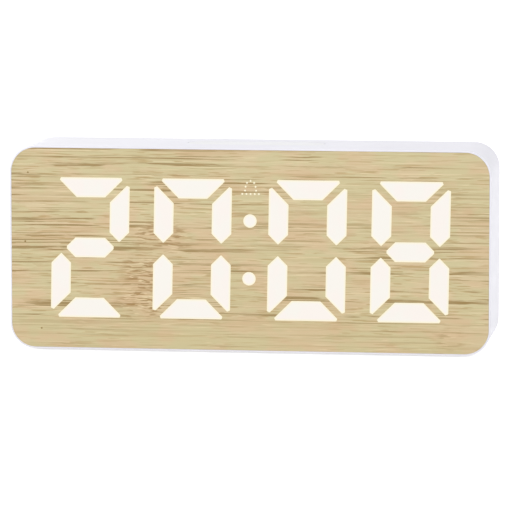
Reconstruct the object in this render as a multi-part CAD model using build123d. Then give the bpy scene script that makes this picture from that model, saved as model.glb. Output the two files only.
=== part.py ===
from build123d import *
import math
import os

# Desk clock: a white moulded body, a wood-look front panel and four large lit digits.
# Lengths are in millimetres and angles in degrees. X runs to the right as seen from the front,
# Y runs from the front to the back and Z runs up. The origin is the middle of the footprint, at
# the height of the surface that the clock stands on. Flat outlines are drawn around the middle
# of the body, with their second coordinate pointing up.

# Body
body_width = 160.4
body_height = 67.8
body_depth = 36.0
corner_radius = 8.6
wall = 2.0
front_wall = 1.5
rear_edge_radius = 1.0
front_edge_radius = 0.2
foot_diameter = 9.0
foot_proud = 0.6
foot_seat_depth = 0.5
foot_edge_radius = 0.2
foot_gap = 0.1
foot_inset_x = 18.0
foot_inset_y = 9.0

# Front panel, stuck on with a frame of tape
rim_width = 0.6
panel_thickness = 1.2
panel_gap = 0.05
tape_thickness = 0.2
tape_inset = 1.5

# Digits
shown_time = "2008"
digit_margin_x = 13.85
digit_margin_z = 10.55
digit_space = 8.2
centre_space = 12.3
digit_lean_share = 0.018
stroke = 6.6
segment_gap = 2.3
waist_gap = 3.7
bar_tip_cut = 1.2
middle_tip_cut = 0.6
post_tip_cut = 1.4
segment_radius = 0.25
window_gap = 0.02
display_shift_x = 0.25
display_shift_z = 0.2
colon_diameter = 4.5
colon_spread = 19.2
mark_drop = 2.75
mark_height = 4.6
mark_dot_diameter = 0.65

# Dots of the small bell, as shares of its height: across, then up from its middle
bell_dots_share = [
    (0, 0.5),
    (-0.26, 0.36), (0.26, 0.36),
    (-0.36, 0.08), (0.36, 0.08),
    (-0.4, -0.2), (0.4, -0.2),
    (-0.6, -0.44), (-0.3, -0.44), (0, -0.44), (0.3, -0.44), (0.6, -0.44),
]

# Display stack behind the panel
window_margin = 1.6
window_radius = 1.5
diffuser_thickness = 0.5
reflector_gap = 0.3
reflector_depth = 8.0
cavity_floor_share = 0.6
mark_cavity_diameter = 6.6
board_thickness = 1.6
board_wall_gap = 0.9
board_post_gap = 0.5
board_corner_radius = 1.0
display_post_diameter = 4.4
display_post_reach_x = 40.0
led_length = 1.2
led_width = 1.0
led_height = 0.8
led_inset = 1.8

# Screws
screw_diameter = 2.2
screw_fit_gap = 0.05
screw_hole_gap = 0.3
screw_head_diameter = 4.0
screw_head_height = 1.5
screw_slot_width = 0.7
screw_slot_depth = 0.8
screw_tip_chamfer = 0.35
screw_head_radius = 0.5
board_screw_length = 5.0
rear_screw_length = 9.0
post_tip_gap = 1.0

# Rear cover and its screw posts
cover_thickness = 2.0
cover_ledge = 0.8
cover_gap = 0.15
cover_edge_chamfer = 0.3
post_inset = 7.6
post_diameter = 6.4
cup_diameter = 8.0
cup_bore_gap = 0.4
cup_depth = 3.0
cup_floor = 1.6

# Main board, carried by the rear cover
main_board_setback = 10.6
main_board_height = 48.0
main_board_margin = 11.5
main_board_bay_gap = 1.0
main_post_diameter = 5.0
main_post_inset_x = 8.0
main_post_inset_z = 3.4

# Rear buttons in their recess
button_count = 4
button_names = ["mode", "up", "down", "alarm"]
button_diameter = 8.0
button_pitch = 13.0
button_row_z = 10.0
button_gap = 0.3
button_flange_overhang = 1.0
button_flange_thickness = 0.8
button_flange_gap = 0.15
button_proud = 1.1
button_edge_radius = 0.5
button_travel = 0.6
recess_depth = 1.5
recess_margin = 3.5
recess_floor = 2.0
recess_wall = 1.6
icon_size = 3.0
icon_stroke = 0.6
icon_depth = 0.25
icon_dots = 3

# Tact switches
switch_side = 6.0
switch_height = 3.5
plunger_diameter = 3.4
plunger_height = 1.5
plunger_bury = 1.2
plunger_gap = 0.1
stem_diameter = 3.0
switch_leg_width = 0.7
switch_leg_length = 1.0
switch_leg_thickness = 0.3

# Snooze bar, flush with the top
snooze_length = 46.0
snooze_width = 12.0
snooze_travel = 0.8
snooze_gap = 0.2
snooze_edge_radius = 0.3
snooze_board_gap = 0.8
snooze_switch_drop = 5.4

# Power inlet
usb_inset = 20.0
usb_z = -13.0
usb_width = 8.94
usb_height = 3.26
usb_corner_radius = 1.2
usb_shell_wall = 0.3
usb_recess = 0.4
usb_cut_gap = 0.3
usb_base_depth = 3.0
usb_tongue_width = 6.7
usb_tongue_thickness = 0.7
usb_tongue_setback = 1.0

# Buzzer and its sound slots
buzzer_inset = 26.0
buzzer_z = -12.0
buzzer_diameter = 12.0
buzzer_height = 7.5
buzzer_hole_diameter = 2.0
buzzer_hole_depth = 1.5
slot_count = 5
slot_width = 1.2
slot_pitch = 2.6
slot_length = 12.0

# Battery bay
cell_count = 3
cell_diameter = 10.5
cell_length = 44.5
cell_button_diameter = 3.8
cell_button_height = 1.2
cell_edge_radius = 0.5
cell_gap = 0.2
bay_wall = 1.2
bay_side_margin = 12.0
bay_rib_height = 2.0
bay_rib_width = 1.0
spring_length = 4.6
spring_wire = 0.5
spring_diameter = 6.4
spring_pitch = 1.3
contact_thickness = 0.4
contact_height = 8.0
contact_gap = 0.1
strip_width = 2.5
strip_drop = 1.2

# Battery door
door_thickness = 2.0
door_gap = 0.3
door_lap = 2.0
door_seat_gap = 0.2
door_corner_radius = 2.0
collar_wall = 1.2
collar_depth = 1.4
hinge_pin_diameter = 1.2
hinge_pin_length = 1.2
hinge_gap = 0.08
tongue_width = 12.0
tongue_length = 9.0
tongue_slot = 0.8
tongue_hook_height = 1.2
tongue_hook_width = 1.0
grip_ridge_count = 3
grip_ridge_pitch = 1.8
grip_ridge_width = 0.7
grip_ridge_height = 0.35
door_rib_height = 0.6
door_rib_width = 1.0
dish_depth = 1.2
dish_reach = 3.5

# Parts on the boards
chip_length = 18.0
chip_width = 7.5
chip_height = 2.3
chip_z = 4.0
leg_count = 14
leg_pitch = 1.27
leg_width = 0.45
leg_reach = 1.3
leg_height = 1.2
header_offset_x = -8.0
header_z = -15.0
header_columns = 5
header_rows = 2
header_pitch = 2.54
header_pin = 0.64
header_pin_gap = 0.15
header_base_depth = 2.5
header_air = 1.5
header_pin_bury = 1.0
header_margin = 0.1
crystal_diameter = 2.0
crystal_length = 6.0
crystal_lead_diameter = 0.3
crystal_lead_length = 2.0
crystal_offset_x = 14.0
crystal_z = -2.0
capacitor_diameter = 6.3
capacitor_height = 5.4
capacitor_offset_x = 20.0
capacitor_z = 14.0
thermistor_diameter = 2.4
thermistor_lead_diameter = 0.5
thermistor_lead_gap = 1.2
thermistor_height = 5.0
thermistor_inset = 18.0
thermistor_z = -14.0
resistor_length = 2.0
resistor_width = 1.25
resistor_height = 0.5
resistor_pitch = 4.0
display_resistor_count = 12
main_resistor_count = 7
resistor_row_drop = 9.0

# One overrun serves every cut that has to pass right through a face
overrun = 1.0

# Places worked out from the sizes above
front_y = -body_depth / 2
rear_y = body_depth / 2
mid_z = foot_proud + body_height / 2
panel_rear_y = front_y + panel_thickness
wall_front_y = panel_rear_y + tape_thickness
wall_rear_y = wall_front_y + front_wall
diffuser_rear_y = panel_rear_y + diffuser_thickness
display_board_front_y = diffuser_rear_y + reflector_depth
display_board_rear_y = display_board_front_y + board_thickness
cover_front_y = rear_y - cover_thickness
cup_rear_y = rear_y - cup_depth
post_end_y = cup_rear_y - cup_floor
main_board_rear_y = rear_y - main_board_setback
main_board_front_y = main_board_rear_y - board_thickness

digit_width = (body_width - 2 * digit_margin_x - centre_space - 2 * digit_space) / 4
digit_height = body_height - 2 * digit_margin_z
digit_pitch = digit_width + digit_space
centre_gap = digit_width + centre_space
mark_rise = digit_height / 2 - mark_drop

cavity_width = body_width - 2 * wall
cavity_height = body_height - 2 * wall
cavity_radius = corner_radius - wall
panel_width = body_width - 2 * (rim_width + panel_gap)
panel_height = body_height - 2 * (rim_width + panel_gap)
panel_radius = corner_radius - rim_width - panel_gap
digits_width = centre_gap + 2 * digit_pitch + digit_width + digit_height * digit_lean_share
window_width = digits_width + 2 * window_margin
window_height = digit_height + 2 * window_margin
post_x = body_width / 2 - post_inset
post_z = body_height / 2 - post_inset
display_board_width = 2 * (post_x - post_diameter / 2 - board_post_gap)
display_board_height = cavity_height - 2 * board_wall_gap
display_post_z = (window_height / 2 + display_shift_z + display_board_height / 2) / 2

recess_width = (button_count - 1) * button_pitch + button_diameter + 2 * recess_margin
recess_height = button_diameter + 2 * recess_margin
recess_floor_y = rear_y - recess_depth
recess_inner_y = recess_floor_y - recess_floor

bay_length = cell_length + spring_length + 2 * contact_thickness
bay_right = cavity_width / 2 - bay_side_margin
bay_left = bay_right - bay_length
bay_mid_x = (bay_left + bay_right) / 2
cell_pitch = cell_diameter + 2 * cell_gap
bay_height = cell_count * cell_pitch
bay_depth = cell_diameter + 2 * cell_gap + door_rib_height
bay_floor_y = rear_y - door_thickness - bay_depth
cell_y = bay_floor_y + cell_gap + cell_diameter / 2

door_width = bay_length + 2 * (bay_wall + door_lap)
door_height = bay_height + 2 * (bay_wall + door_lap)
door_inner_y = rear_y - door_thickness
hinge_y = rear_y - door_thickness / 2
hinge_z = -door_height / 2 + door_thickness / 2

main_board_left = -(cavity_width / 2 - main_board_margin)
main_board_right = bay_left - bay_wall - main_board_bay_gap
main_board_width = main_board_right - main_board_left
main_board_x = (main_board_left + main_board_right) / 2
board_space = main_board_front_y - display_board_rear_y
header_socket_depth = board_space - header_base_depth - header_air

chip_x = main_board_x
header_x = main_board_x + header_offset_x
crystal_x = main_board_x + crystal_offset_x
capacitor_x = main_board_x + capacitor_offset_x
thermistor_x = main_board_right - thermistor_inset

door_side_x = bay_mid_x - door_width / 2 - door_gap - collar_wall
button_row_x = (door_side_x - cavity_width / 2) / 2
usb_x = usb_inset - cavity_width / 2
buzzer_x = door_side_x - buzzer_inset

snooze_y = display_board_rear_y + snooze_board_gap + button_flange_overhang + snooze_width / 2
snooze_stem_y = display_board_rear_y + switch_side / 2
top_inner_z = body_height / 2 - wall


# Basic forms

def slab(outline, low_y, thickness, x=0.0, z=0.0):
    """A flat piece drawn in X and Z around the middle of the body, from low_y to the back."""
    face = Plane.XZ * outline
    return Pos(x, low_y, mid_z + z) * extrude(face, amount=-thickness)


def rod(diameter, low_y, length, x=0.0, z=0.0):
    """A round bar that runs from the front to the back."""
    return slab(Circle(diameter / 2), low_y, length, x, z)


def block(width, depth, height, x, y, z):
    """A box around a point that is given from the middle of the body."""
    return Pos(x, y, mid_z + z) * Box(width, depth, height)


def corners(reach_x, reach_z):
    """The four places that lie the same way off the middle."""
    return [(sx * reach_x, sz * reach_z) for sx in (-1, 1) for sz in (-1, 1)]


def row(count, pitch):
    """Places in a row, around zero."""
    return [(index - (count - 1) / 2) * pitch for index in range(count)]


def join(pieces):
    """One shape from a list of shapes."""
    return Part() + pieces


def group(pieces):
    """Separate solids that share a node."""
    return Compound(children=[solid for piece in pieces for solid in piece.solids()])


def at_face(shape, axis, last=True):
    """The edges of the outermost face along an axis."""
    return shape.faces().sort_by(axis)[-1 if last else 0].edges()


def screw(length, head_y, x, z, towards_front):
    """A pan-head screw with a cross slot. head_y is where the head meets the clamped part."""
    side = -1 if towards_front else 1
    shank = Cylinder(screw_diameter / 2, length, align=(Align.CENTER, Align.CENTER, Align.MIN))
    shank = chamfer(at_face(shank, Axis.Z), screw_tip_chamfer)
    head = Pos(0, 0, -screw_head_height / 2) * Cylinder(screw_head_diameter / 2, screw_head_height)
    head = fillet(at_face(head, Axis.Z, last=False), screw_head_radius)
    cross = Box(screw_head_diameter / 2, screw_slot_width, 2 * screw_slot_depth)
    cross += Rot(0, 0, 90) * cross
    body = shank + head - Pos(0, 0, -screw_head_height) * cross
    return Pos(x, head_y, mid_z + z) * Rot(-90 * side, 0, 0) * body


# Digits

segments_of_digit = {
    "0": "abcdef", "1": "bc", "2": "abged", "3": "abgcd", "4": "fgbc",
    "5": "afgcd", "6": "afgcde", "7": "abc", "8": "abcdefg", "9": "abcdfg",
}

# Which drawn form each segment uses, and which way it is mirrored
segment_forms = {
    "a": ("bar", 1, 1), "d": ("bar", 1, -1), "g": ("middle", 1, 1),
    "b": ("post", 1, 1), "c": ("post", 1, -1), "e": ("post", -1, -1), "f": ("post", -1, 1),
}


def blunted(points, cuts):
    """A closed outline whose listed corners are cut off, each by a length along both edges."""
    result = []
    for index, point in enumerate(points):
        cut = cuts.get(index, 0.0)
        if cut == 0.0:
            result.append(point)
            continue
        for other in (points[index - 1], points[(index + 1) % len(points)]):
            span = math.dist(point, other)
            result.append(tuple(p + (o - p) * cut / span for p, o in zip(point, other)))
    return result


def segment_points(name):
    """The outline of one segment around the middle of its digit."""
    form, side_x, side_z = segment_forms[name]
    half_w = digit_width / 2
    half_h = digit_height / 2
    miter = segment_gap / math.sqrt(2)
    shoulder = (waist_gap + stroke) / 2
    if form == "bar":
        reach = half_w - miter
        outline = [(-reach + stroke, half_h - stroke), (reach - stroke, half_h - stroke),
                   (reach, half_h), (-reach, half_h)]
        outline = blunted(outline, {2: bar_tip_cut, 3: bar_tip_cut})
    elif form == "middle":
        reach = half_w - stroke / 2 + waist_gap / 2 - 2 * miter
        outline = [(reach, 0), (reach - stroke / 2, stroke / 2), (-reach + stroke / 2, stroke / 2),
                   (-reach, 0), (-reach + stroke / 2, -stroke / 2),
                   (reach - stroke / 2, -stroke / 2)]
        outline = blunted(outline, {0: middle_tip_cut, 3: middle_tip_cut})
    else:
        outline = [(half_w - stroke / 2, waist_gap / 2), (half_w, shoulder),
                   (half_w, half_h - miter), (half_w - stroke, half_h - stroke - miter),
                   (half_w - stroke, shoulder)]
        outline = blunted(outline, {2: post_tip_cut})
    points = [(side_x * x, side_z * z) for x, z in outline]
    if side_x * side_z < 0:
        points.reverse()
    return [(x + digit_lean_share * z, z) for x, z in points]


def moved(points, x, z):
    return [(px + x, pz + z) for px, pz in points]


def digit_places():
    """The middles of the four digits, from left to right."""
    near = centre_gap / 2
    far = near + digit_pitch
    return [display_shift_x + x for x in (-far, -near, near, far)]


def colon_places():
    return [(display_shift_x + digit_lean_share * z, display_shift_z + z)
            for z in (-colon_spread / 2, colon_spread / 2)]


def mark_place():
    return (display_shift_x + digit_lean_share * mark_rise, display_shift_z + mark_rise)


def digit_faces(index, inset):
    """The lit areas of one digit, drawn smaller all round by an inset."""
    faces = []
    for name in segments_of_digit[shown_time[index]]:
        points = moved(segment_points(name), digit_places()[index], display_shift_z)
        face = Polygon(*points)
        face = fillet(face.vertices(), segment_radius)
        if inset > 0:
            face = offset(face, amount=-inset, kind=Kind.INTERSECTION)
        faces.append(face)
    return faces


def colon_faces(inset):
    return [Pos(x, z) * Circle(colon_diameter / 2 - inset) for x, z in colon_places()]


def mark_faces(inset):
    x, z = mark_place()
    radius = mark_dot_diameter / 2 - inset
    return [Pos(x + across * mark_height, z + up * mark_height) * Circle(radius)
            for across, up in bell_dots_share]


def lit_piece(faces):
    return group([slab(face, front_y, panel_thickness) for face in faces])


def wood_panel():
    panel = slab(RectangleRounded(panel_width, panel_height, panel_radius), front_y, panel_thickness)
    windows = colon_faces(0) + mark_faces(0)
    for index in range(len(shown_time)):
        windows += digit_faces(index, 0)
    cuts = [slab(face, front_y - overrun, panel_thickness + 2 * overrun) for face in windows]
    return panel - cuts


# Display stack

def window_outline(clearance):
    return RectangleRounded(window_width - 2 * clearance, window_height - 2 * clearance, window_radius)


def panel_tape():
    width = panel_width - 2 * tape_inset
    height = panel_height - 2 * tape_inset
    frame = slab(RectangleRounded(width, height, panel_radius - tape_inset), panel_rear_y,
                 tape_thickness)
    return frame - slab(window_outline(0), panel_rear_y - overrun, tape_thickness + 2 * overrun,
                        display_shift_x, display_shift_z)


def diffuser_sheet():
    return slab(window_outline(reflector_gap), panel_rear_y, diffuser_thickness,
                display_shift_x, display_shift_z)


def tapered_cavity(points):
    """A cavity that narrows from the front of the reflector to its lamps."""
    mid_x = sum(x for x, z in points) / len(points)
    mid_up = sum(z for x, z in points) / len(points)
    floor = [(mid_x + (x - mid_x) * cavity_floor_share, mid_up + (z - mid_up) * cavity_floor_share)
             for x, z in points]
    mouth_face = Pos(0, diffuser_rear_y, mid_z) * (Plane.XZ * Polygon(*points))
    floor_face = Pos(0, display_board_front_y, mid_z) * (Plane.XZ * Polygon(*floor))
    return loft([mouth_face, floor_face], ruled=True)


def display_reflector():
    body = slab(window_outline(reflector_gap), diffuser_rear_y, reflector_depth,
                display_shift_x, display_shift_z)
    cuts = []
    for x in digit_places():
        for name in segment_forms:
            cuts.append(tapered_cavity(moved(segment_points(name), x, display_shift_z)))
    for x, z in colon_places():
        cuts.append(rod(colon_diameter, diffuser_rear_y, reflector_depth, x, z))
    x, z = mark_place()
    cuts.append(rod(mark_cavity_diameter, diffuser_rear_y, reflector_depth, x, z))
    return body - cuts


def segment_length(form):
    """The length of a segment along its middle line."""
    miter = segment_gap / math.sqrt(2)
    if form == "bar":
        return digit_width - 2 * miter - stroke
    if form == "middle":
        return digit_width - stroke + waist_gap - 4 * miter
    return (digit_height - stroke - waist_gap) / 2 - miter


def display_leds():
    """Two lamps behind each segment, one behind each colon dot and one behind the bell."""
    places = colon_places() + [mark_place()]
    for x in digit_places():
        for name, (form, side_x, side_z) in segment_forms.items():
            points = moved(segment_points(name), x, display_shift_z)
            mid_x = sum(px for px, pz in points) / len(points)
            mid_up = sum(pz for px, pz in points) / len(points)
            reach = cavity_floor_share * segment_length(form) / 2 - led_inset
            for step in (-reach, reach):
                across = 0.0 if form == "post" else step
                places.append((mid_x + across, mid_up + step - across))
    lamp_y = display_board_front_y - led_height / 2
    return group([block(led_length, led_height, led_width, x, lamp_y, z) for x, z in places])


def display_post_places():
    return corners(display_post_reach_x, display_post_z)


def screw_hole(low_y, length, x, z):
    return rod(screw_diameter + 2 * screw_hole_gap, low_y, length, x, z)


def pilot_hole(low_y, length, x, z):
    return rod(screw_diameter + 2 * screw_fit_gap, low_y, length, x, z)


def display_board():
    outline = RectangleRounded(display_board_width, display_board_height, board_corner_radius)
    board = slab(outline, display_board_front_y, board_thickness)
    cuts = [screw_hole(display_board_front_y - overrun, board_thickness + 2 * overrun, x, z)
            for x, z in display_post_places()]
    return board - cuts


def display_board_screws():
    return group([screw(board_screw_length, display_board_rear_y, x, z, True)
                  for x, z in display_post_places()])


# Housing

def foot_places():
    reach_x = body_width / 2 - foot_inset_x
    reach_y = body_depth / 2 - foot_inset_y
    return corners(reach_x, reach_y)


def housing():
    body = slab(RectangleRounded(body_width, body_height, corner_radius), front_y, body_depth)
    body = fillet(at_face(body, Axis.Y), rear_edge_radius)
    body = fillet(at_face(body, Axis.Y, last=False), front_edge_radius)
    cavity = RectangleRounded(cavity_width, cavity_height, cavity_radius)
    seat = RectangleRounded(cavity_width + 2 * cover_ledge, cavity_height + 2 * cover_ledge,
                            cavity_radius + cover_ledge)
    panel_seat = RectangleRounded(body_width - 2 * rim_width, body_height - 2 * rim_width,
                                  corner_radius - rim_width)
    body -= slab(cavity, wall_rear_y, rear_y - wall_rear_y + overrun)
    body -= slab(seat, cover_front_y, cover_thickness + overrun)
    body -= slab(panel_seat, front_y - overrun, wall_front_y - front_y + overrun)
    posts = [rod(post_diameter, wall_rear_y, post_end_y - wall_rear_y, x, z)
             for x, z in corners(post_x, post_z)]
    posts += [rod(display_post_diameter, wall_rear_y, display_board_front_y - wall_rear_y, x, z)
              for x, z in display_post_places()]
    body += posts
    window = slab(window_outline(0), front_y - overrun, wall_rear_y - front_y + 2 * overrun,
                  display_shift_x, display_shift_z)
    depth = rear_screw_length + post_tip_gap
    pilots = [pilot_hole(post_end_y - depth, depth, x, z) for x, z in corners(post_x, post_z)]
    board_depth = board_screw_length - board_thickness + post_tip_gap
    pilots += [pilot_hole(display_board_front_y - board_depth, board_depth, x, z)
               for x, z in display_post_places()]
    seats = [Pos(x, y, foot_proud) * Cylinder(foot_diameter / 2 + foot_gap, 2 * foot_seat_depth)
             for x, y in foot_places()]
    opening = Pos(0, snooze_y, mid_z + body_height / 2) * extrude(snooze_outline(snooze_gap),
                                                                 amount=wall + overrun, both=True)
    return body - window - pilots - seats - opening


def rubber_feet():
    height = foot_proud + foot_seat_depth
    feet = []
    for x, y in foot_places():
        foot = Pos(x, y, height / 2) * Cylinder(foot_diameter / 2, height)
        feet.append(fillet(at_face(foot, Axis.Z, last=False), foot_edge_radius))
    return group(feet)


# Switches and buttons

def switch_body(plunger_travel):
    """A tact switch standing on its board along Z, with a pocket for its plunger."""
    body = Pos(0, 0, switch_height / 2) * Box(switch_side, switch_side, switch_height)
    pocket = plunger_bury + plunger_travel + plunger_gap
    body -= Pos(0, 0, switch_height) * Cylinder(plunger_diameter / 2 + plunger_gap, 2 * pocket)
    for side in (-1, 1):
        for place in (-switch_side / 3, switch_side / 3):
            reach = side * (switch_side + switch_leg_length) / 2
            body += Pos(reach, place, switch_leg_thickness / 2) * Box(
                switch_leg_length, switch_leg_width, switch_leg_thickness)
    return body


def plunger():
    """The moving core of a tact switch, along Z from the board."""
    length = plunger_height + plunger_bury
    core = Cylinder(plunger_diameter / 2, length, align=(Align.CENTER, Align.CENTER, Align.MIN))
    return Pos(0, 0, switch_height - plunger_bury) * core


def on_main_board(shape, x, z):
    """Stands a piece that is drawn along Z on the rear side of the main board."""
    return Pos(x, main_board_rear_y, mid_z + z) * Rot(-90, 0, 0) * shape


def on_board_front(shape, x, z):
    """Stands a piece that is drawn along Z on the front side of the main board."""
    return Pos(x, main_board_front_y, mid_z + z) * Rot(90, 0, 0) * shape


def on_display_board(shape, x, z):
    """Stands a piece that is drawn along Z on the rear side of the display board."""
    return Pos(x, display_board_rear_y, mid_z + z) * Rot(-90, 0, 0) * shape


def button_places():
    return [(button_row_x + x, button_row_z) for x in row(button_count, button_pitch)]


def rear_switches():
    return group([on_main_board(switch_body(button_travel), x, z) for x, z in button_places()])


def icon(name):
    """The plain sign that is sunk into the top of a rear button."""
    bar = Box(icon_size, icon_stroke, 2 * icon_depth)
    dot = Cylinder(icon_stroke, 2 * icon_depth)
    ring = Cylinder(icon_size / 2, 2 * icon_depth) - Cylinder(icon_size / 2 - icon_stroke, icon_size)
    signs = {
        "up": bar + Rot(0, 0, 90) * bar,
        "down": bar,
        "mode": join([Pos(x, 0, 0) * dot for x in row(icon_dots, icon_size / 2)]),
        "alarm": ring,
    }
    return signs[name]


def rear_button(index):
    """A round cap with a flange that holds it in, and a stem that meets its switch."""
    name = button_names[index]
    x, z = button_places()[index]
    flange_rear_y = recess_inner_y - button_flange_gap
    flange_front_y = flange_rear_y - button_flange_thickness
    top_y = recess_floor_y + button_proud
    plunger_top_y = main_board_rear_y + switch_height + plunger_height
    cap = rod(button_diameter, flange_rear_y, top_y - flange_rear_y, x, z)
    cap = fillet(at_face(cap, Axis.Y), button_edge_radius)
    cap -= Pos(x, top_y, mid_z + z) * Rot(90, 0, 0) * icon(name)
    flange = rod(button_diameter + 2 * button_flange_overhang, flange_front_y,
                 button_flange_thickness, x, z)
    stem = rod(stem_diameter, plunger_top_y, flange_front_y - plunger_top_y, x, z)
    return cap + flange + stem


def rear_plunger(index):
    x, z = button_places()[index]
    return on_main_board(plunger(), x, z)


def snooze_outline(clearance):
    return SlotOverall(snooze_length + 2 * clearance, snooze_width + 2 * clearance)


def snooze_switch_base():
    """Where the snooze switch starts, below the top wall, on the display board."""
    return top_inner_z - snooze_switch_drop - switch_height - plunger_height


def snooze_switch():
    return Pos(0, snooze_stem_y, mid_z + snooze_switch_base()) * switch_body(snooze_travel)


def snooze_plunger():
    return Pos(0, snooze_stem_y, mid_z + snooze_switch_base()) * plunger()


def snooze_button():
    top_z = mid_z + body_height / 2
    flange_top_z = mid_z + top_inner_z - button_flange_gap
    flange_base_z = flange_top_z - button_flange_thickness
    plunger_top_z = mid_z + snooze_switch_base() + switch_height + plunger_height
    cap = Pos(0, snooze_y, flange_top_z) * extrude(snooze_outline(0), amount=top_z - flange_top_z)
    cap = fillet(at_face(cap, Axis.Z), snooze_edge_radius)
    flange = Pos(0, snooze_y, flange_base_z) * extrude(
        snooze_outline(button_flange_overhang), amount=button_flange_thickness)
    stem = Pos(0, snooze_stem_y, (plunger_top_z + flange_base_z) / 2) * Cylinder(
        stem_diameter / 2, flange_base_z - plunger_top_z)
    return cap + flange + stem


# Rear cover, battery bay and door

def door_outline(clearance):
    return RectangleRounded(door_width + 2 * clearance, door_height + 2 * clearance,
                            door_corner_radius + clearance)


def door_opening():
    """The cut for the door: round corners at the top and square ones at the hinge."""
    cut = slab(door_outline(door_gap), cover_front_y - overrun, cover_thickness + 2 * overrun,
               bay_mid_x)
    square = door_corner_radius + door_gap
    width = door_width + 2 * door_gap
    low = -door_height / 2 - door_gap
    return cut + slab(Rectangle(width, square), cover_front_y - overrun,
                      cover_thickness + 2 * overrun, bay_mid_x, low + square / 2)


def cell_places():
    return row(cell_count, cell_pitch)


def main_post_places():
    reach_x = main_board_width / 2 - main_post_inset_x
    reach_z = main_board_height / 2 - main_post_inset_z
    return [(main_board_x + x, z) for x, z in corners(reach_x, reach_z)]


def rear_cover():
    grow = 2 * (cover_ledge - cover_gap)
    plate = slab(RectangleRounded(cavity_width + grow, cavity_height + grow,
                                  cavity_radius + grow / 2), cover_front_y, cover_thickness)
    plate = chamfer(at_face(plate, Axis.Y), cover_edge_chamfer)

    bay_outer = Rectangle(bay_length + 2 * bay_wall, bay_height + 2 * bay_wall)
    collar = door_outline(collar_wall + door_gap)
    collar_rear_y = door_inner_y - door_seat_gap
    added = [slab(bay_outer, bay_floor_y - bay_wall, collar_rear_y - bay_floor_y + bay_wall,
                  bay_mid_x)]
    added.append(slab(collar, cover_front_y - collar_depth, collar_depth, bay_mid_x))
    tray = RectangleRounded(recess_width + 2 * recess_wall, recess_height + 2 * recess_wall,
                            recess_height / 4 + recess_wall)
    added.append(slab(tray, recess_inner_y, cover_front_y - recess_inner_y,
                      button_row_x, button_row_z))
    added += [rod(cup_diameter, post_end_y, cover_front_y - post_end_y, x, z)
              for x, z in corners(post_x, post_z)]
    added += [rod(main_post_diameter, main_board_rear_y, cover_front_y - main_board_rear_y, x, z)
              for x, z in main_post_places()]
    cover = plate + added

    bore = screw_head_diameter + 2 * cup_bore_gap
    cuts = [rod(bore, cup_rear_y, cup_depth + overrun, x, z) for x, z in corners(post_x, post_z)]
    cuts += [screw_hole(post_end_y - overrun, cup_floor + 2 * overrun, x, z)
             for x, z in corners(post_x, post_z)]
    pilot_depth = board_screw_length - board_thickness + post_tip_gap
    cuts += [pilot_hole(main_board_rear_y, pilot_depth, x, z) for x, z in main_post_places()]
    cuts.append(slab(RectangleRounded(recess_width, recess_height, recess_height / 4),
                     recess_floor_y, recess_depth + overrun, button_row_x, button_row_z))
    cuts += [rod(button_diameter + 2 * button_gap, recess_inner_y - overrun,
                 recess_floor + 2 * overrun, x, z) for x, z in button_places()]
    cuts.append(slab(RectangleRounded(usb_width + 2 * usb_cut_gap, usb_height + 2 * usb_cut_gap,
                                      usb_corner_radius + usb_cut_gap),
                     cover_front_y - overrun, cover_thickness + 2 * overrun, usb_x, usb_z))
    cuts += [slab(SlotOverall(slot_length, slot_width), cover_front_y - overrun,
                  cover_thickness + 2 * overrun, buzzer_x, buzzer_z + step)
             for step in row(slot_count, slot_pitch)]
    cuts.append(door_opening())
    cuts.append(slab(Rectangle(bay_length, bay_height), bay_floor_y, rear_y - bay_floor_y, bay_mid_x))
    cuts.append(hinge_holes())
    cuts.append(strip_space())
    cuts.append(finger_dish())
    cover -= cuts

    rib_length = cell_length - 2 * cell_diameter
    ribs = [block(rib_length, bay_rib_height, bay_rib_width, bay_mid_x,
                  bay_floor_y + bay_rib_height / 2, z) for z in row(cell_count - 1, cell_pitch)]
    return cover + ribs


def hinge_bar(diameter, length):
    """A round bar along the hinge axis of the battery door."""
    return Pos(bay_mid_x, hinge_y, mid_z + hinge_z) * Rot(0, 90, 0) * Cylinder(diameter / 2, length)


def hinge_holes():
    length = door_width + 2 * (hinge_pin_length + door_gap)
    return hinge_bar(hinge_pin_diameter + 2 * hinge_gap, length)


def finger_dish():
    """A shallow round dish beside the door's tongue, where a fingertip goes in."""
    edge_z = door_height / 2
    radius = (dish_reach * dish_reach + dish_depth * dish_depth) / (2 * dish_depth)
    dish = Rot(0, 90, 0) * Cylinder(radius, tongue_width)
    return Pos(bay_mid_x, rear_y - dish_depth + radius, mid_z + edge_z) * dish


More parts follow.
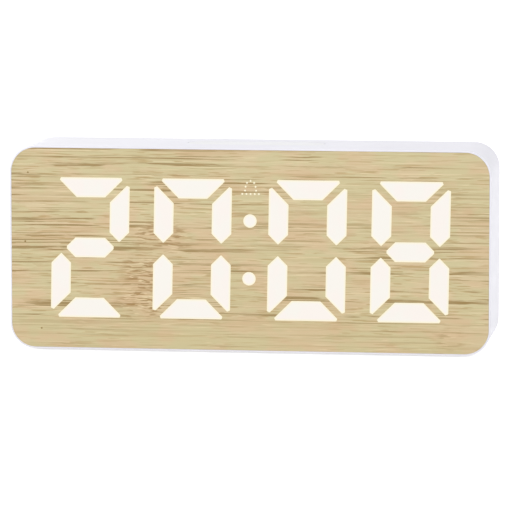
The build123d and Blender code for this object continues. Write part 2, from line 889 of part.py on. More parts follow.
def battery_door():
    """A flat door with a round hinge edge, two pins, a springy tongue and grip ridges."""
    plate = slab(door_outline(0), door_inner_y, door_thickness, bay_mid_x)
    below = slab(Rectangle(door_width + overrun, door_thickness), door_inner_y - overrun,
                 door_thickness + 2 * overrun, bay_mid_x, -door_height / 2)
    foot = slab(Rectangle(door_width, door_corner_radius), door_inner_y, door_thickness,
                bay_mid_x, hinge_z + door_corner_radius / 2)
    door = plate - below + foot + hinge_bar(door_thickness, door_width)
    door += hinge_bar(hinge_pin_diameter, door_width + 2 * hinge_pin_length)

    top = door_height / 2
    cut_x = (tongue_width + tongue_slot) / 2
    cuts = [block(tongue_slot, door_thickness + 2 * overrun, 2 * tongue_length, bay_mid_x + side,
                  hinge_y, top) for side in (-cut_x, cut_x)]
    door -= cuts
    hook_z = bay_height / 2 - door_gap - tongue_hook_width / 2
    door += block(tongue_width, tongue_hook_height, tongue_hook_width, bay_mid_x,
                  door_inner_y - tongue_hook_height / 2, hook_z)
    groove = tongue_width - 2 * grip_ridge_width
    grip = (grip_ridge_count + 1) * grip_ridge_pitch
    pad = block(groove, 2 * grip_ridge_height, grip, bay_mid_x, rear_y, top - grip / 2)
    ridges = [block(groove, 2 * grip_ridge_height, grip_ridge_width, bay_mid_x, rear_y,
                    top - (index + 1) * grip_ridge_pitch) for index in range(grip_ridge_count)]
    door -= pad - ridges
    rib_z = [z for z in cell_places() if z < hook_z - cell_pitch / 2]
    door += [block(cell_length / 2, door_rib_height, door_rib_width, bay_mid_x,
                   door_inner_y - door_rib_height / 2, z) for z in rib_z]
    return door


def cell_turns(index):
    """Whether a cell's button end points right. Neighbours point opposite ways."""
    return index % 2 == 1


def battery(index):
    """A cylindrical cell along X, with its button end against the flat contact."""
    can_length = cell_length - cell_button_height
    can = Cylinder(cell_diameter / 2, can_length)
    can = fillet(can.edges(), cell_edge_radius)
    button_middle = (can_length + cell_button_height) / 2
    can += Pos(0, 0, button_middle) * Cylinder(cell_button_diameter / 2, cell_button_height)
    side = 1 if cell_turns(index) else -1
    flat_x = bay_mid_x + side * (bay_length / 2 - contact_thickness)
    x = flat_x - side * (cell_button_height + can_length / 2)
    return Pos(x, cell_y, mid_z + cell_places()[index]) * Rot(0, 90 * side, 0) * can


def contact_plates():
    """Flat metal contacts: single ones at both ends of the chain and bridges between cells."""
    plates = []
    for side in (-1, 1):
        x = bay_mid_x + side * (bay_length - contact_thickness) / 2
        first = 0 if side > 0 else 1
        lonely = cell_count - 1 if side > 0 else 0
        bridge = (cell_places()[first] + cell_places()[first + 1]) / 2
        plates.append(block(contact_thickness, contact_height, contact_height, x, cell_y,
                            cell_places()[lonely]))
        plates.append(block(contact_thickness, contact_height, cell_pitch + contact_height,
                            x, cell_y, bridge))
    tail_left = bay_left - bay_wall - main_board_bay_gap - strip_width
    tail = bay_left + contact_thickness - tail_left
    plates[0] += block(tail, contact_thickness, strip_width, tail_left + tail / 2, strip_y(),
                       cell_places()[0])
    return group(plates)


def contact_springs():
    """A helical spring presses on the flat end of each cell."""
    springs = []
    for index, z in enumerate(cell_places()):
        side = -1 if cell_turns(index) else 1
        x = bay_mid_x + side * (bay_length / 2 - contact_thickness - spring_wire / 2)
        height = spring_length - spring_wire
        radius = (spring_diameter - spring_wire) / 2
        path = Helix(spring_pitch, height, radius)
        start = Plane(origin=path @ 0, z_dir=path % 0)
        wire = sweep(start * Circle(spring_wire / 2), path=path)
        springs.append(Pos(x, cell_y, mid_z + z) * Rot(0, -90 * side, 0) * wire)
    return group(springs)


def strip_y():
    """The level of the contact tails, which lie on the rear side of the main board."""
    return main_board_rear_y + contact_thickness / 2


def strip_runs(grow):
    """The flat strip that brings the far contact back to the main board, below the bay."""
    out_x = bay_right + bay_wall + contact_gap + strip_width / 2
    low_z = -bay_height / 2 - bay_wall - strip_drop - strip_width / 2
    end_x = bay_left - bay_wall - main_board_bay_gap - strip_width
    thick = contact_thickness + 2 * grow
    wide = strip_width + 2 * grow
    top_z = cell_places()[-1]
    start_x = bay_right
    return [
        block(out_x - start_x + wide / 2, thick, wide, (start_x + out_x + wide / 2) / 2,
              strip_y(), top_z),
        block(wide, thick, top_z - low_z + wide, out_x, strip_y(), (top_z + low_z) / 2),
        block(out_x - end_x + wide / 2, thick, wide, (end_x + out_x + wide / 2) / 2,
              strip_y(), low_z),
    ]


def battery_strip():
    return join(strip_runs(0))


def strip_space():
    """The cuts that let the strip and the left contact's tail through the bay walls."""
    tail = block(2 * bay_wall, contact_thickness + 2 * contact_gap, strip_width + 2 * contact_gap,
                 bay_left - bay_wall / 2, strip_y(), cell_places()[0])
    return join(strip_runs(contact_gap) + [tail])


# Main board and what stands on it

def main_board():
    outline = RectangleRounded(main_board_width, main_board_height, board_corner_radius)
    board = slab(outline, main_board_front_y, board_thickness, main_board_x)
    cuts = [screw_hole(main_board_front_y - overrun, board_thickness + 2 * overrun, x, z)
            for x, z in main_post_places()]
    return board - cuts


def main_board_screws():
    return group([screw(board_screw_length, main_board_front_y, x, z, False)
                  for x, z in main_post_places()])


def rear_screws():
    return group([screw(rear_screw_length, cup_rear_y, x, z, True)
                  for x, z in corners(post_x, post_z)])


def chip_form():
    """A moulded chip body along Z from its board."""
    body = Pos(0, 0, (chip_height + leg_width) / 2) * Box(chip_length, chip_width,
                                                           chip_height - leg_width)
    body = chamfer(at_face(body, Axis.Z), leg_width / 2)
    dimple = Pos(leg_width * 4 - chip_length / 2, 0, chip_height) * Cylinder(leg_width, leg_width)
    return body - dimple


def chip_leg_forms():
    legs = []
    for side in (-1, 1):
        for x in row(leg_count, leg_pitch):
            foot_y = side * (chip_width + leg_reach) / 2
            upright_y = side * (chip_width + leg_width) / 2
            foot = Pos(x, foot_y, leg_width / 4) * Box(leg_width, leg_reach, leg_width / 2)
            upright = Pos(x, upright_y, leg_height / 2) * Box(leg_width, leg_width, leg_height)
            legs.append(foot + upright)
    return legs


def controller_chip():
    return on_board_front(chip_form(), chip_x, chip_z)


def driver_chip():
    return on_display_board(chip_form(), chip_x, chip_z)


def chip_legs():
    legs = [on_board_front(leg, chip_x, chip_z) for leg in chip_leg_forms()]
    legs += [on_display_board(leg, chip_x, chip_z) for leg in chip_leg_forms()]
    return group(legs)


def chip_resistors():
    chip = Pos(0, 0, resistor_height / 2) * Box(resistor_width, resistor_length, resistor_height)
    pieces = [on_display_board(chip, chip_x + x, chip_z + resistor_row_drop)
              for x in row(display_resistor_count, resistor_pitch)]
    pieces += [on_board_front(chip, chip_x + x, chip_z + resistor_row_drop)
               for x in row(main_resistor_count, resistor_pitch)]
    return group(pieces)


def clock_crystal():
    lift = crystal_diameter / 2
    can = Pos(0, 0, lift) * Rot(0, 90, 0) * Cylinder(crystal_diameter / 2, crystal_length)
    for side in (-crystal_diameter / 4, crystal_diameter / 4):
        reach = (crystal_length + crystal_lead_length) / 2
        can += Pos(reach, side, lift) * Rot(0, 90, 0) * Cylinder(
            crystal_lead_diameter / 2, crystal_lead_length)
        tip = crystal_length / 2 + crystal_lead_length - crystal_lead_diameter / 2
        can += Pos(tip, side, lift / 2) * Cylinder(crystal_lead_diameter / 2, lift)
    return on_board_front(can, crystal_x, crystal_z)


def capacitor():
    can = Pos(0, 0, capacitor_height / 2) * Cylinder(capacitor_diameter / 2, capacitor_height)
    can = fillet(at_face(can, Axis.Z), capacitor_diameter / 16)
    return on_board_front(can, capacitor_x, capacitor_z)


def thermistor():
    bead = Pos(0, 0, thermistor_height) * Sphere(thermistor_diameter / 2)
    for side in (-thermistor_lead_gap / 2, thermistor_lead_gap / 2):
        bead += Pos(side, 0, thermistor_height / 2) * Cylinder(
            thermistor_lead_diameter / 2, thermistor_height)
    return on_main_board(bead, thermistor_x, thermistor_z)


def buzzer():
    can = Pos(0, 0, buzzer_height / 2) * Cylinder(buzzer_diameter / 2, buzzer_height)
    can = fillet(at_face(can, Axis.Z), buzzer_diameter / 24)
    can -= Pos(0, 0, buzzer_height) * Cylinder(buzzer_hole_diameter / 2, 2 * buzzer_hole_depth)
    return on_main_board(can, buzzer_x, buzzer_z)


def usb_outline(inset):
    return RectangleRounded(usb_width - 2 * inset, usb_height - 2 * inset, usb_corner_radius - inset)


def usb_mouth_y():
    return rear_y - usb_recess


def usb_shell():
    length = usb_mouth_y() - main_board_rear_y
    shell = slab(usb_outline(0), main_board_rear_y, length, usb_x, usb_z)
    inside_y = main_board_rear_y + usb_base_depth
    return shell - slab(usb_outline(usb_shell_wall), inside_y, length, usb_x, usb_z)


def usb_tongue():
    low_y = main_board_rear_y + usb_base_depth
    length = usb_mouth_y() - usb_tongue_setback - low_y
    return slab(Rectangle(usb_tongue_width, usb_tongue_thickness), low_y, length, usb_x, usb_z)


def header_pin_places():
    return [(x, z) for x in row(header_columns, header_pitch) for z in row(header_rows, header_pitch)]


def header_block(depth):
    width = header_columns * header_pitch - 2 * header_margin
    height = header_rows * header_pitch - 2 * header_margin
    return Pos(0, 0, depth / 2) * Box(width, height, depth)


def header_plug():
    """Pins in a strip on the main board, which reach into the socket."""
    length = board_space - header_pin_bury
    pins = [Pos(x, z, length / 2) * Box(header_pin, header_pin, length)
            for x, z in header_pin_places()]
    return on_board_front(header_block(header_base_depth) + pins, header_x, header_z)


def header_socket():
    """The socket strip on the display board, with a hole for each pin."""
    hole = header_pin + 2 * header_pin_gap
    depth = header_socket_depth
    holes = [Pos(x, z, depth) * Box(hole, hole, 2 * (depth - header_pin_bury / 2))
             for x, z in header_pin_places()]
    return on_display_board(header_block(depth) - holes, header_x, header_z)


def nodes():
    """Every node of the clock by its name."""
    pieces = {
        "housing": housing(),
        "wood_panel": wood_panel(),
        "panel_tape": panel_tape(),
        "lit_colon": lit_piece(colon_faces(window_gap)),
        "lit_alarm_mark": lit_piece(mark_faces(window_gap)),
        "diffuser_sheet": diffuser_sheet(),
        "display_reflector": display_reflector(),
        "display_leds": display_leds(),
        "display_board": display_board(),
        "display_board_screws": display_board_screws(),
        "driver_chip": driver_chip(),
        "main_board": main_board(),
        "main_board_screws": main_board_screws(),
        "controller_chip": controller_chip(),
        "chip_legs": chip_legs(),
        "chip_resistors": chip_resistors(),
        "clock_crystal": clock_crystal(),
        "capacitor": capacitor(),
        "thermistor": thermistor(),
        "buzzer": buzzer(),
        "usb_shell": usb_shell(),
        "usb_tongue": usb_tongue(),
        "header_plug": header_plug(),
        "header_socket": header_socket(),
        "rear_switches": rear_switches(),
        "snooze_switch": snooze_switch(),
        "snooze_plunger": snooze_plunger(),
        "snooze_button": snooze_button(),
        "rear_cover": rear_cover(),
        "rear_screws": rear_screws(),
        "battery_door": battery_door(),
        "contact_plates": contact_plates(),
        "contact_springs": contact_springs(),
        "battery_strip": battery_strip(),
        "rubber_feet": rubber_feet(),
    }
    for index in range(len(shown_time)):
        pieces[f"lit_digit_{index + 1}"] = lit_piece(digit_faces(index, window_gap))
    for index in range(button_count):
        pieces[f"{button_names[index]}_button"] = rear_button(index)
        pieces[f"{button_names[index]}_plunger"] = rear_plunger(index)
    for index in range(cell_count):
        pieces[f"battery_{index + 1}"] = battery(index)
    return pieces


os.makedirs("parts", exist_ok=True)
for node, shape in nodes().items():
    export_step(shape, f"parts/{node}.step")
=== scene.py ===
"""Desk clock: a white moulded body, a bamboo-look front and four lit digits.

Lengths are in metres. X runs to the right as seen from the front, Y from the front to the back
and Z up. The clock's construction comes in as fixed nodes. This file gives each of them its
finish, and adds the small pieces that are printed on them, moulded on them or clipped to them.
"""
import math

import bmesh
import bpy
from bpy.props import FloatProperty, FloatVectorProperty, IntProperty, PointerProperty
from mathutils import Matrix, Vector


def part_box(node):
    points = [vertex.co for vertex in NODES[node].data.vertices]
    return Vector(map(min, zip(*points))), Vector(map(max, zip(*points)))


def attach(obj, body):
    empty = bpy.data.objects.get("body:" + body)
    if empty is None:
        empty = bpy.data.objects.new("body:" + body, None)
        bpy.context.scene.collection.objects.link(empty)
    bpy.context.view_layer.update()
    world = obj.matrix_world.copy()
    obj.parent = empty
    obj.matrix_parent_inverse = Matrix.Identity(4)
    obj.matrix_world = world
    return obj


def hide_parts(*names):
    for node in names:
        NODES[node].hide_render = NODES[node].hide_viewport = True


bl_info = {
    "name": "Desk clock",
    "version": (1, 0, 0),
    "blender": (4, 5, 0),
    "location": "3D View > Sidebar > Clock",
    "description": "Finishes and small pieces of a desk clock with a bamboo-look front",
    "category": "Object",
}

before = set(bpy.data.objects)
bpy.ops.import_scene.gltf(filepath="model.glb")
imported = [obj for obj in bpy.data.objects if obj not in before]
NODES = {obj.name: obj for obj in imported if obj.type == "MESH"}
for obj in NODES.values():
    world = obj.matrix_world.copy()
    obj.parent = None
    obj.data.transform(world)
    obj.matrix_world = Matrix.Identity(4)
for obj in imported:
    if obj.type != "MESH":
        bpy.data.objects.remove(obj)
MM = 0.001

# Points of a mesh that are nearer to each other than this are level
LEVEL = 0.01 * MM

# Places in the bamboo print, in millimetres from the middle of the panel: across, up, and the
# reach to each side and up and down. A knuckle also has a strength: three of them make a tall
# one that leans, and the last is small. Between the two bare heights the fibres grow thinner.
KNUCKLES = ((-29.5, 4.0, 13.0, 7.5, 0.9), (-35.0, -8.0, 10.5, 9.5, 1.0),
            (-35.5, -18.0, 11.0, 7.0, 1.0), (67.0, -28.5, 6.5, 5.0, 0.5))
STRIP = (0.0, -18.0, 900.0, 6.0)
CALM = (42.0, 12.0, 56.0, 15.0)
PORES = ((-74.0, 25.0), (-75.0, 2.0), (-69.6, -27.0))
BARE_FROM, BARE_BELOW = -22.0, -24.0

# Lights, in metres from the middle of the footprint: where they hang, and their side
LIGHTS = {"key": ((-0.6, -1.6, 0.7), 1.3), "fill": ((1.5, -0.6, 0.95), 1.1),
          "back": ((-0.9, 1.4, 0.8), 1.2)}


def linear(hex_colour):
    """An sRGB hex colour as linear red, green and blue, with full alpha."""
    channels = [int(hex_colour[start:start + 2], 16) / 255 for start in (1, 3, 5)]
    return tuple(c / 12.92 if c <= 0.04045 else ((c + 0.055) / 1.055) ** 2.4
                 for c in channels) + (1.0,)


def colour(name, description, hex_colour):
    """A colour that a user can change."""
    return FloatVectorProperty(name=name, description=description, subtype="COLOR", size=4,
                               min=0.0, max=1.0, default=linear(hex_colour))


def length(name, description, millimetres):
    """A length that a user can change, given in millimetres and kept in metres."""
    return FloatProperty(name=name, description=description, subtype="DISTANCE", unit="LENGTH",
                         precision=5, default=millimetres * MM)


class ClockColours(bpy.types.PropertyGroup):
    """Colours of the clock's finishes."""
    bamboo_ground: colour("Bamboo ground", "Pale ground of the printed bamboo", "#D3C098")
    bamboo_warm: colour("Bamboo warm", "Warmer clouds in the ground", "#D2B38C")
    bamboo_green: colour("Bamboo green", "Faintly greener patches in the ground", "#CBC194")
    bamboo_fibre: colour("Bamboo fibre", "Fine fibres that run along the panel", "#AE8F59")
    bamboo_line: colour("Bamboo line", "Long dark lines", "#8E7339")
    bamboo_pale: colour("Bamboo pale", "Pale flecks between the fibres", "#EBD9B0")
    bamboo_knuckle: colour("Bamboo knuckle", "Orange fibres at a knuckle of the stem", "#9C7A45")
    lit_film: colour("Lit film", "Light that comes through a segment", "#E0DDD8")
    lit_rose: colour("Lit film, rose", "Faintly rosy places in the light", "#E3DBD7")
    lit_cream: colour("Lit film, cream", "Creamy fringe of a lit segment", "#E6DFC4")
    unlit_film: colour("Film", "The film itself, without light", "#6E6B64")
    shell_white: colour("Shell", "White of the moulded housing", "#EEEDF5")
    cover_white: colour("Cover", "White of the rear cover and battery door", "#EAEAED")
    key_white: colour("Keys", "White of the keys", "#EFEFF2")
    ink: colour("Ink", "Grey ink of the signs", "#8B8D92")
    sleeve: colour("Cell sleeve", "Main colour of the cells' sleeves", "#3C4B57")
    sleeve_band: colour("Cell band", "Band at the button end of the cells", "#C9CDCF")
    rubber: colour("Feet", "Silicone of the feet", "#D9D9D6")


class ClockSizes(bpy.types.PropertyGroup):
    """Sizes of the pieces and patterns that are added to the construction."""
    fibre_length: length("Fibre length", "Usual length of a printed fibre", 14.0)
    fibre_width: length("Fibre width", "Usual width of a printed fibre", 0.42)
    row_length: length("Row length", "How far a dark line keeps its height", 150.0)
    line_length: length("Line length", "Usual stretch in which a dark line shows", 18.0)
    line_spread: length("Line spread", "Width of the band in which lines show together", 1.3)
    cloud_length: length("Cloud length", "Length of the warmer clouds", 26.0)
    cloud_width: length("Cloud width", "Width of the warmer clouds", 5.0)
    hue_length: length("Hue length", "Length of the greener patches", 11.0)
    hue_width: length("Hue width", "Width of the greener patches", 6.0)
    crowd_length: length("Crowd length", "Length of the places where fibres crowd", 30.0)
    crowd_width: length("Crowd width", "Width of the places where fibres crowd", 7.0)
    shell_grain: length("Shell grain", "Grain of the moulded housing", 0.35)
    cover_grain: length("Cover grain", "Coarser grain of the rear cover", 0.5)
    sway_length: length("Sway length", "Length over which a fibre rises and falls", 40.0)
    sway_rise: length("Sway rise", "How far a fibre rises and falls", 0.8)
    curl_length: length("Curl length", "The same length for the curled fibres at a knuckle", 3.0)
    curl_rise: length("Curl rise", "The same rise for the curled fibres at a knuckle", 0.7)
    pore_width: length("Pore width", "Width of a pore, from its middle", 0.42)
    pore_height: length("Pore height", "Height of a pore, from its middle", 0.36)
    line_relief: length("Line relief", "Depth of the printed grain", 0.02)
    fringe_width: length("Fringe width", "Creamy fringe along the edges of a lit segment", 0.9)
    ink_thickness: length("Ink", "Thickness of the printed signs", 0.03)
    sign_size: length("Sign size", "Height of a printed sign", 3.2)
    sign_stroke: length("Sign stroke", "Width of a printed stroke", 0.45)
    sign_rise: length("Sign rise", "From the middle of the keys to the middle of the signs", 10.9)
    inlet_sign_rise: length("Inlet sign rise", "From the inlet to the sign above it", 3.2)
    door_sign_drop: length("Door sign drop", "From the door's upper edge to its sign", 12.0)
    door_thickness: length("Door thickness", "Thickness of the battery door", 2.0)
    mark_height: length("Mark height", "Height of the moulded marks in the battery door", 0.25)
    mark_size: length("Mark size", "Width of the moulded marks in the battery door", 3.6)
    mark_stroke: length("Mark stroke", "Width of a moulded stroke", 0.8)
    mark_edge: length("Mark edge", "Rounding of a moulded mark's edges", 0.06)
    sleeve_wrap: length("Sleeve wrap", "How far a cell's sleeve wraps over its ends", 0.7)
    sleeve_film: length("Sleeve film", "Thickness of a cell's sleeve", 0.12)
    band_width: length("Band width", "Width of the band at a cell's button end", 9.0)
    button_height: length("Button height", "How far a cell's button stands out", 1.2)
    button_radius: length("Button radius", "Half the width of a cell's button", 1.8)
    button_lean: length("Button lean", "How far the button's wall leans", 0.05)
    crown: length("Crown", "How far the metal rises from the groove to the button", 0.1)
    groove_width: length("Groove width", "Width of the groove round a cell's button", 0.6)
    groove_depth: length("Groove depth", "Depth of the groove round a cell's button", 0.25)
    groove_lean: length("Groove lean", "How far each wall of the groove leans", 0.1)
    dish_depth: length("Dish depth", "Depth of the dish in a cell's base", 0.15)
    dish_lean: length("Dish lean", "How far the wall of the dish leans", 0.2)
    cell_edge: length("Cell edge", "Rounding of a cell's edges", 0.12)
    contact_inset: length("Contact inset", "From the tongue's tip to its contacts", 0.3)
    contact_width: length("Contact width", "Width of a contact in the inlet", 0.25)
    contact_pitch: length("Contact pitch", "Pitch of the contacts in the inlet", 0.5)
    contact_height: length("Contact height", "How far a contact stands off the tongue", 0.06)
    contact_edge: length("Contact edge", "Rounding of a contact's edges", 0.02)
    contact_columns: IntProperty(name="Contact columns", description="Contacts in each row",
                                 default=12)


class ClockView(bpy.types.PropertyGroup):
    """Camera and lights."""
    azimuth: FloatProperty(name="Azimuth", description="Camera's turn to the right of the front",
                           subtype="ANGLE", default=math.radians(7.704))
    elevation: FloatProperty(name="Elevation", description="Camera's height above the horizon",
                             subtype="ANGLE", default=math.radians(6.533))
    distance: length("Distance", "From the camera to the point that it looks at", 1429.9)
    lens: FloatProperty(name="Lens", description="Focal length for a sensor 36 mm wide",
                        subtype="DISTANCE_CAMERA", default=304.37)
    aim_right: length("Aim right", "Aimed point, from the middle of the front panel", 2.44)
    aim_up: length("Aim up", "Aimed point, from the middle of the front panel", -1.79)
    ambient: FloatProperty(name="Ambient", description="Strength of the even light from all round",
                           default=0.68)
    key_power: FloatProperty(name="Key light", description="Power of the soft light in front",
                             subtype="POWER", default=11.0)
    fill_power: FloatProperty(name="Fill light", description="Power of the soft light at the right",
                              subtype="POWER", default=6.8)
    back_power: FloatProperty(name="Back light", description="Power of the soft light behind",
                              subtype="POWER", default=6.0)
    floor_side: length("Floor side", "Side of the square floor", 24000.0)
    floor_glow: FloatProperty(name="Floor glow", description="Light added to the floor where it is "
                              "seen directly", default=0.75)


# Material nodes

def add(tree, kind, inputs, **settings):
    """Adds a node, sets its properties, and links or sets its inputs."""
    node = tree.nodes.new(kind)
    for name, value in settings.items():
        setattr(node, name, value)
    for socket, value in inputs.items():
        if isinstance(value, bpy.types.NodeSocket):
            tree.links.new(value, node.inputs[socket])
        else:
            node.inputs[socket].default_value = value
    return node


def finish_of(name, **shader):
    """A material whose shader has these constants. Returns it, its tree, shader and coordinates."""
    material = bpy.data.materials.new(name)
    material.use_nodes = True
    tree = material.node_tree
    principled = tree.nodes["Principled BSDF"]
    for socket, value in shader.items():
        principled.inputs[socket.replace("_", " ")].default_value = value
    place = add(tree, "ShaderNodeTexCoord", {}).outputs["Object"]
    return material, tree, principled, place


def patches(tree, place, size, low, high, detail=2.0, seed=0.0):
    """A mask of soft random patches of a real size, given along X, Y and Z."""
    scale = [1 / side for side in size]
    scaled = add(tree, "ShaderNodeMapping", {"Vector": place, "Scale": scale})
    noise = add(tree, "ShaderNodeTexNoise",
                {"Vector": scaled.outputs[0], "W": seed, "Scale": 1.0, "Detail": detail},
                noise_dimensions="4D")
    return add(tree, "ShaderNodeMapRange",
               {"Value": noise.outputs[0], "From Min": low, "From Max": high},
               interpolation_type="SMOOTHSTEP").outputs[0]


def swayed(tree, place, span, rise):
    """Coordinates that rise and fall softly, so that a pattern along X waves."""
    drift = add(tree, "ShaderNodeTexNoise", {"Vector": place, "Scale": 1 / span, "Detail": 1.0})
    sway = add(tree, "ShaderNodeVectorMath",
               {0: drift.outputs["Color"], 1: (0.0, 0.0, rise)}, operation="MULTIPLY")
    return add(tree, "ShaderNodeVectorMath", {0: place, 1: sway.outputs[0]}).outputs[0]


def oval(tree, place, middle, reach, soft=0.5):
    """A mask that is high inside an oval in X and Z and fades out towards its edge."""
    scale = (1 / reach[0], 0.0, 1 / reach[1])
    shift = (-middle[0] / reach[0], 0.0, -middle[1] / reach[1])
    centred = add(tree, "ShaderNodeMapping", {"Vector": place, "Scale": scale, "Location": shift})
    away = add(tree, "ShaderNodeVectorMath", {0: centred.outputs[0]}, operation="LENGTH")
    return add(tree, "ShaderNodeMapRange",
               {"Value": away.outputs["Value"], "From Min": 1.0, "From Max": 1.0 - soft},
               interpolation_type="SMOOTHSTEP").outputs[0]


def shared(tree, mask, *others):
    """High only where all of the masks are high. A plain number among them is a greatest share."""
    for other in others:
        mask = add(tree, "ShaderNodeMath", {0: mask, 1: other}, operation="MULTIPLY").outputs[0]
    return mask


def overlay(tree, under, mask, over, share):
    """Lays a colour over another one where a mask is high, up to a greatest share."""
    return add(tree, "ShaderNodeMix", {0: shared(tree, mask, share), 6: under, 7: over},
               data_type="RGBA").outputs[2]


def plug(tree, shader, socket, value):
    """Links a pattern to a socket of a shader."""
    tree.links.new(value, shader.inputs[socket])


def vary(tree, shader, socket, mask, low, high):
    """Lets a mask move a plain value of the shader between two ends."""
    ends = add(tree, "ShaderNodeMapRange", {"Value": mask, "To Min": low, "To Max": high})
    plug(tree, shader, socket, ends.outputs[0])


def emboss(tree, shader, height, depth):
    """Lets a pattern raise the surface by a real depth. A negative depth sinks it."""
    bump = add(tree, "ShaderNodeBump", {"Height": height, "Strength": 1.0, "Distance": abs(depth)},
               invert=depth < 0)
    plug(tree, shader, "Normal", bump.outputs[0])


# Finishes

def bamboo_print(colours, sizes):
    """Bamboo grain printed on a satin film: pale and even, with fine brown fibres that run along
    the panel, a knuckle of the stem with short curled ones and a few pores."""
    material, tree, shader, place = finish_of("bamboo_print_film", Roughness=0.46)
    low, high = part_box("wood_panel")
    middle = (low + high) / 2
    along = swayed(tree, place, sizes.sway_length, sizes.sway_rise)
    curled = swayed(tree, place, sizes.curl_length, sizes.curl_rise)
    run, width = sizes.fibre_length, sizes.fibre_width

    knuckles = 0.0
    for x, z, wide, tall, share in KNUCKLES:
        spot = oval(tree, place, (x * MM, middle.z + z * MM), (wide * MM, tall * MM), 0.6)
        knuckles = add(tree, "ShaderNodeMath", {0: knuckles, 1: shared(tree, spot, share)},
                       operation="MAXIMUM").outputs[0]

    # Fibres crowd in a strip low on the panel. They thin out below it, and high at the right
    height = add(tree, "ShaderNodeSeparateXYZ", {"Vector": along}).outputs["Z"]
    bare = add(tree, "ShaderNodeMapRange",
               {"Value": height, "From Min": middle.z + BARE_FROM * MM,
                "From Max": middle.z + BARE_BELOW * MM, "To Min": 1.0, "To Max": 0.6},
               interpolation_type="SMOOTHSTEP").outputs[0]
    x, z, wide, tall = (side * MM for side in STRIP)
    strip = oval(tree, along, (x, middle.z + z), (wide, tall), 1.0)
    x, z, wide, tall = (side * MM for side in CALM)
    calm = oval(tree, place, (x, middle.z + z), (wide, tall), 0.8)
    calm = add(tree, "ShaderNodeMapRange", {"Value": calm, "To Min": 1.0, "To Max": 0.5}).outputs[0]
    crowd = patches(tree, place, (sizes.crowd_length, sizes.crowd_length, sizes.crowd_width),
                    0.36, 0.58, seed=3.0)
    crowd = add(tree, "ShaderNodeMath", {0: crowd, 1: strip}, operation="MAXIMUM").outputs[0]
    crowd = add(tree, "ShaderNodeMapRange", {"Value": crowd, "To Min": 0.4}).outputs[0]
    crowd = shared(tree, crowd, bare, calm)

    # A line keeps its height for a long way, and shows in shorter stretches
    row = (sizes.row_length, run, width * 1.4)
    rows = patches(tree, along, row, 0.552, 0.585, 1.0, seed=8.0)
    beside = patches(tree, along, row, 0.49, 0.535, 1.0, seed=8.0)
    shown = patches(tree, along, (sizes.line_length, run, sizes.line_spread), 0.43, 0.53, 3.0,
                    seed=9.0)
    shown = shared(tree, shown, crowd)
    lines = shared(tree, rows, shown)

    clouds = patches(tree, along, (sizes.cloud_length, run, sizes.cloud_width), 0.36, 0.64)
    hues = patches(tree, place, (sizes.hue_length, run, sizes.hue_width), 0.4, 0.6, seed=21.0)
    fine = patches(tree, along, (run * 3.2, run, width * 1.8), 0.44, 0.7, 2.0, seed=1.0)
    fibres = patches(tree, along, (run * 0.6, run, width * 1.15), 0.58, 0.62, 1.0, seed=5.0)
    pale = patches(tree, along, (run * 0.7, run, width), 0.58, 0.72, seed=12.0)
    short = patches(tree, curled, (run * 0.36, run, width * 1.15), 0.53, 0.58, 1.0, seed=15.0)
    flecks = patches(tree, curled, (run * 0.25, run, width), 0.6, 0.68, 1.0, seed=17.0)

    tone = overlay(tree, colours.bamboo_ground, clouds, colours.bamboo_warm, 0.6)
    tone = overlay(tree, tone, hues, colours.bamboo_green, 0.8)
    tone = overlay(tree, tone, fine, colours.bamboo_fibre, 0.22)
    tone = overlay(tree, tone, pale, colours.bamboo_pale, 0.5)
    tone = overlay(tree, tone, shared(tree, beside, shown), colours.bamboo_pale, 0.45)
    tone = overlay(tree, tone, shared(tree, fibres, crowd), colours.bamboo_fibre, 0.65)
    tone = overlay(tree, tone, lines, colours.bamboo_line, 0.84)
    tone = overlay(tree, tone, knuckles, colours.bamboo_warm, 0.35)
    tone = overlay(tree, tone, shared(tree, short, knuckles), colours.bamboo_knuckle, 0.85)
    tone = overlay(tree, tone, shared(tree, flecks, knuckles), colours.bamboo_pale, 0.6)
    for x, z in PORES:
        pore = oval(tree, place, (x * MM, middle.z + z * MM), (sizes.pore_width, sizes.pore_height))
        tone = overlay(tree, tone, pore, colours.bamboo_line, 1.0)

    plug(tree, shader, "Base Color", tone)
    vary(tree, shader, "Roughness", fine, 0.44, 0.54)
    emboss(tree, shader, lines, -sizes.line_relief)
    return material


def lit_film(colours, sizes):
    """Light through the panel's film: warm white, very even, with faint rosy places and a creamy
    fringe along the edges of each segment."""
    material, tree, shader, place = finish_of(
        "lit_segment_film", Base_Color=colours.unlit_film, Roughness=0.5, Emission_Strength=1.0)
    rose, grain, relief = (7 * MM, 7 * MM, 9 * MM), 0.3 * MM, 0.003 * MM
    rosy = patches(tree, place, rose, 0.42, 0.62)
    inward = add(tree, "ShaderNodeAmbientOcclusion", {"Distance": sizes.fringe_width}, inside=True,
                 only_local=True, samples=16)
    fringe = add(tree, "ShaderNodeMapRange",
                 {"Value": inward.outputs["AO"], "From Min": 1.0, "From Max": 0.6}).outputs[0]
    glow = overlay(tree, colours.lit_film, rosy, colours.lit_rose, 0.8)
    plug(tree, shader, "Emission Color", overlay(tree, glow, fringe, colours.lit_cream, 1.0))
    emboss(tree, shader, patches(tree, place, (grain,) * 3, 0.3, 0.7), relief)
    return material


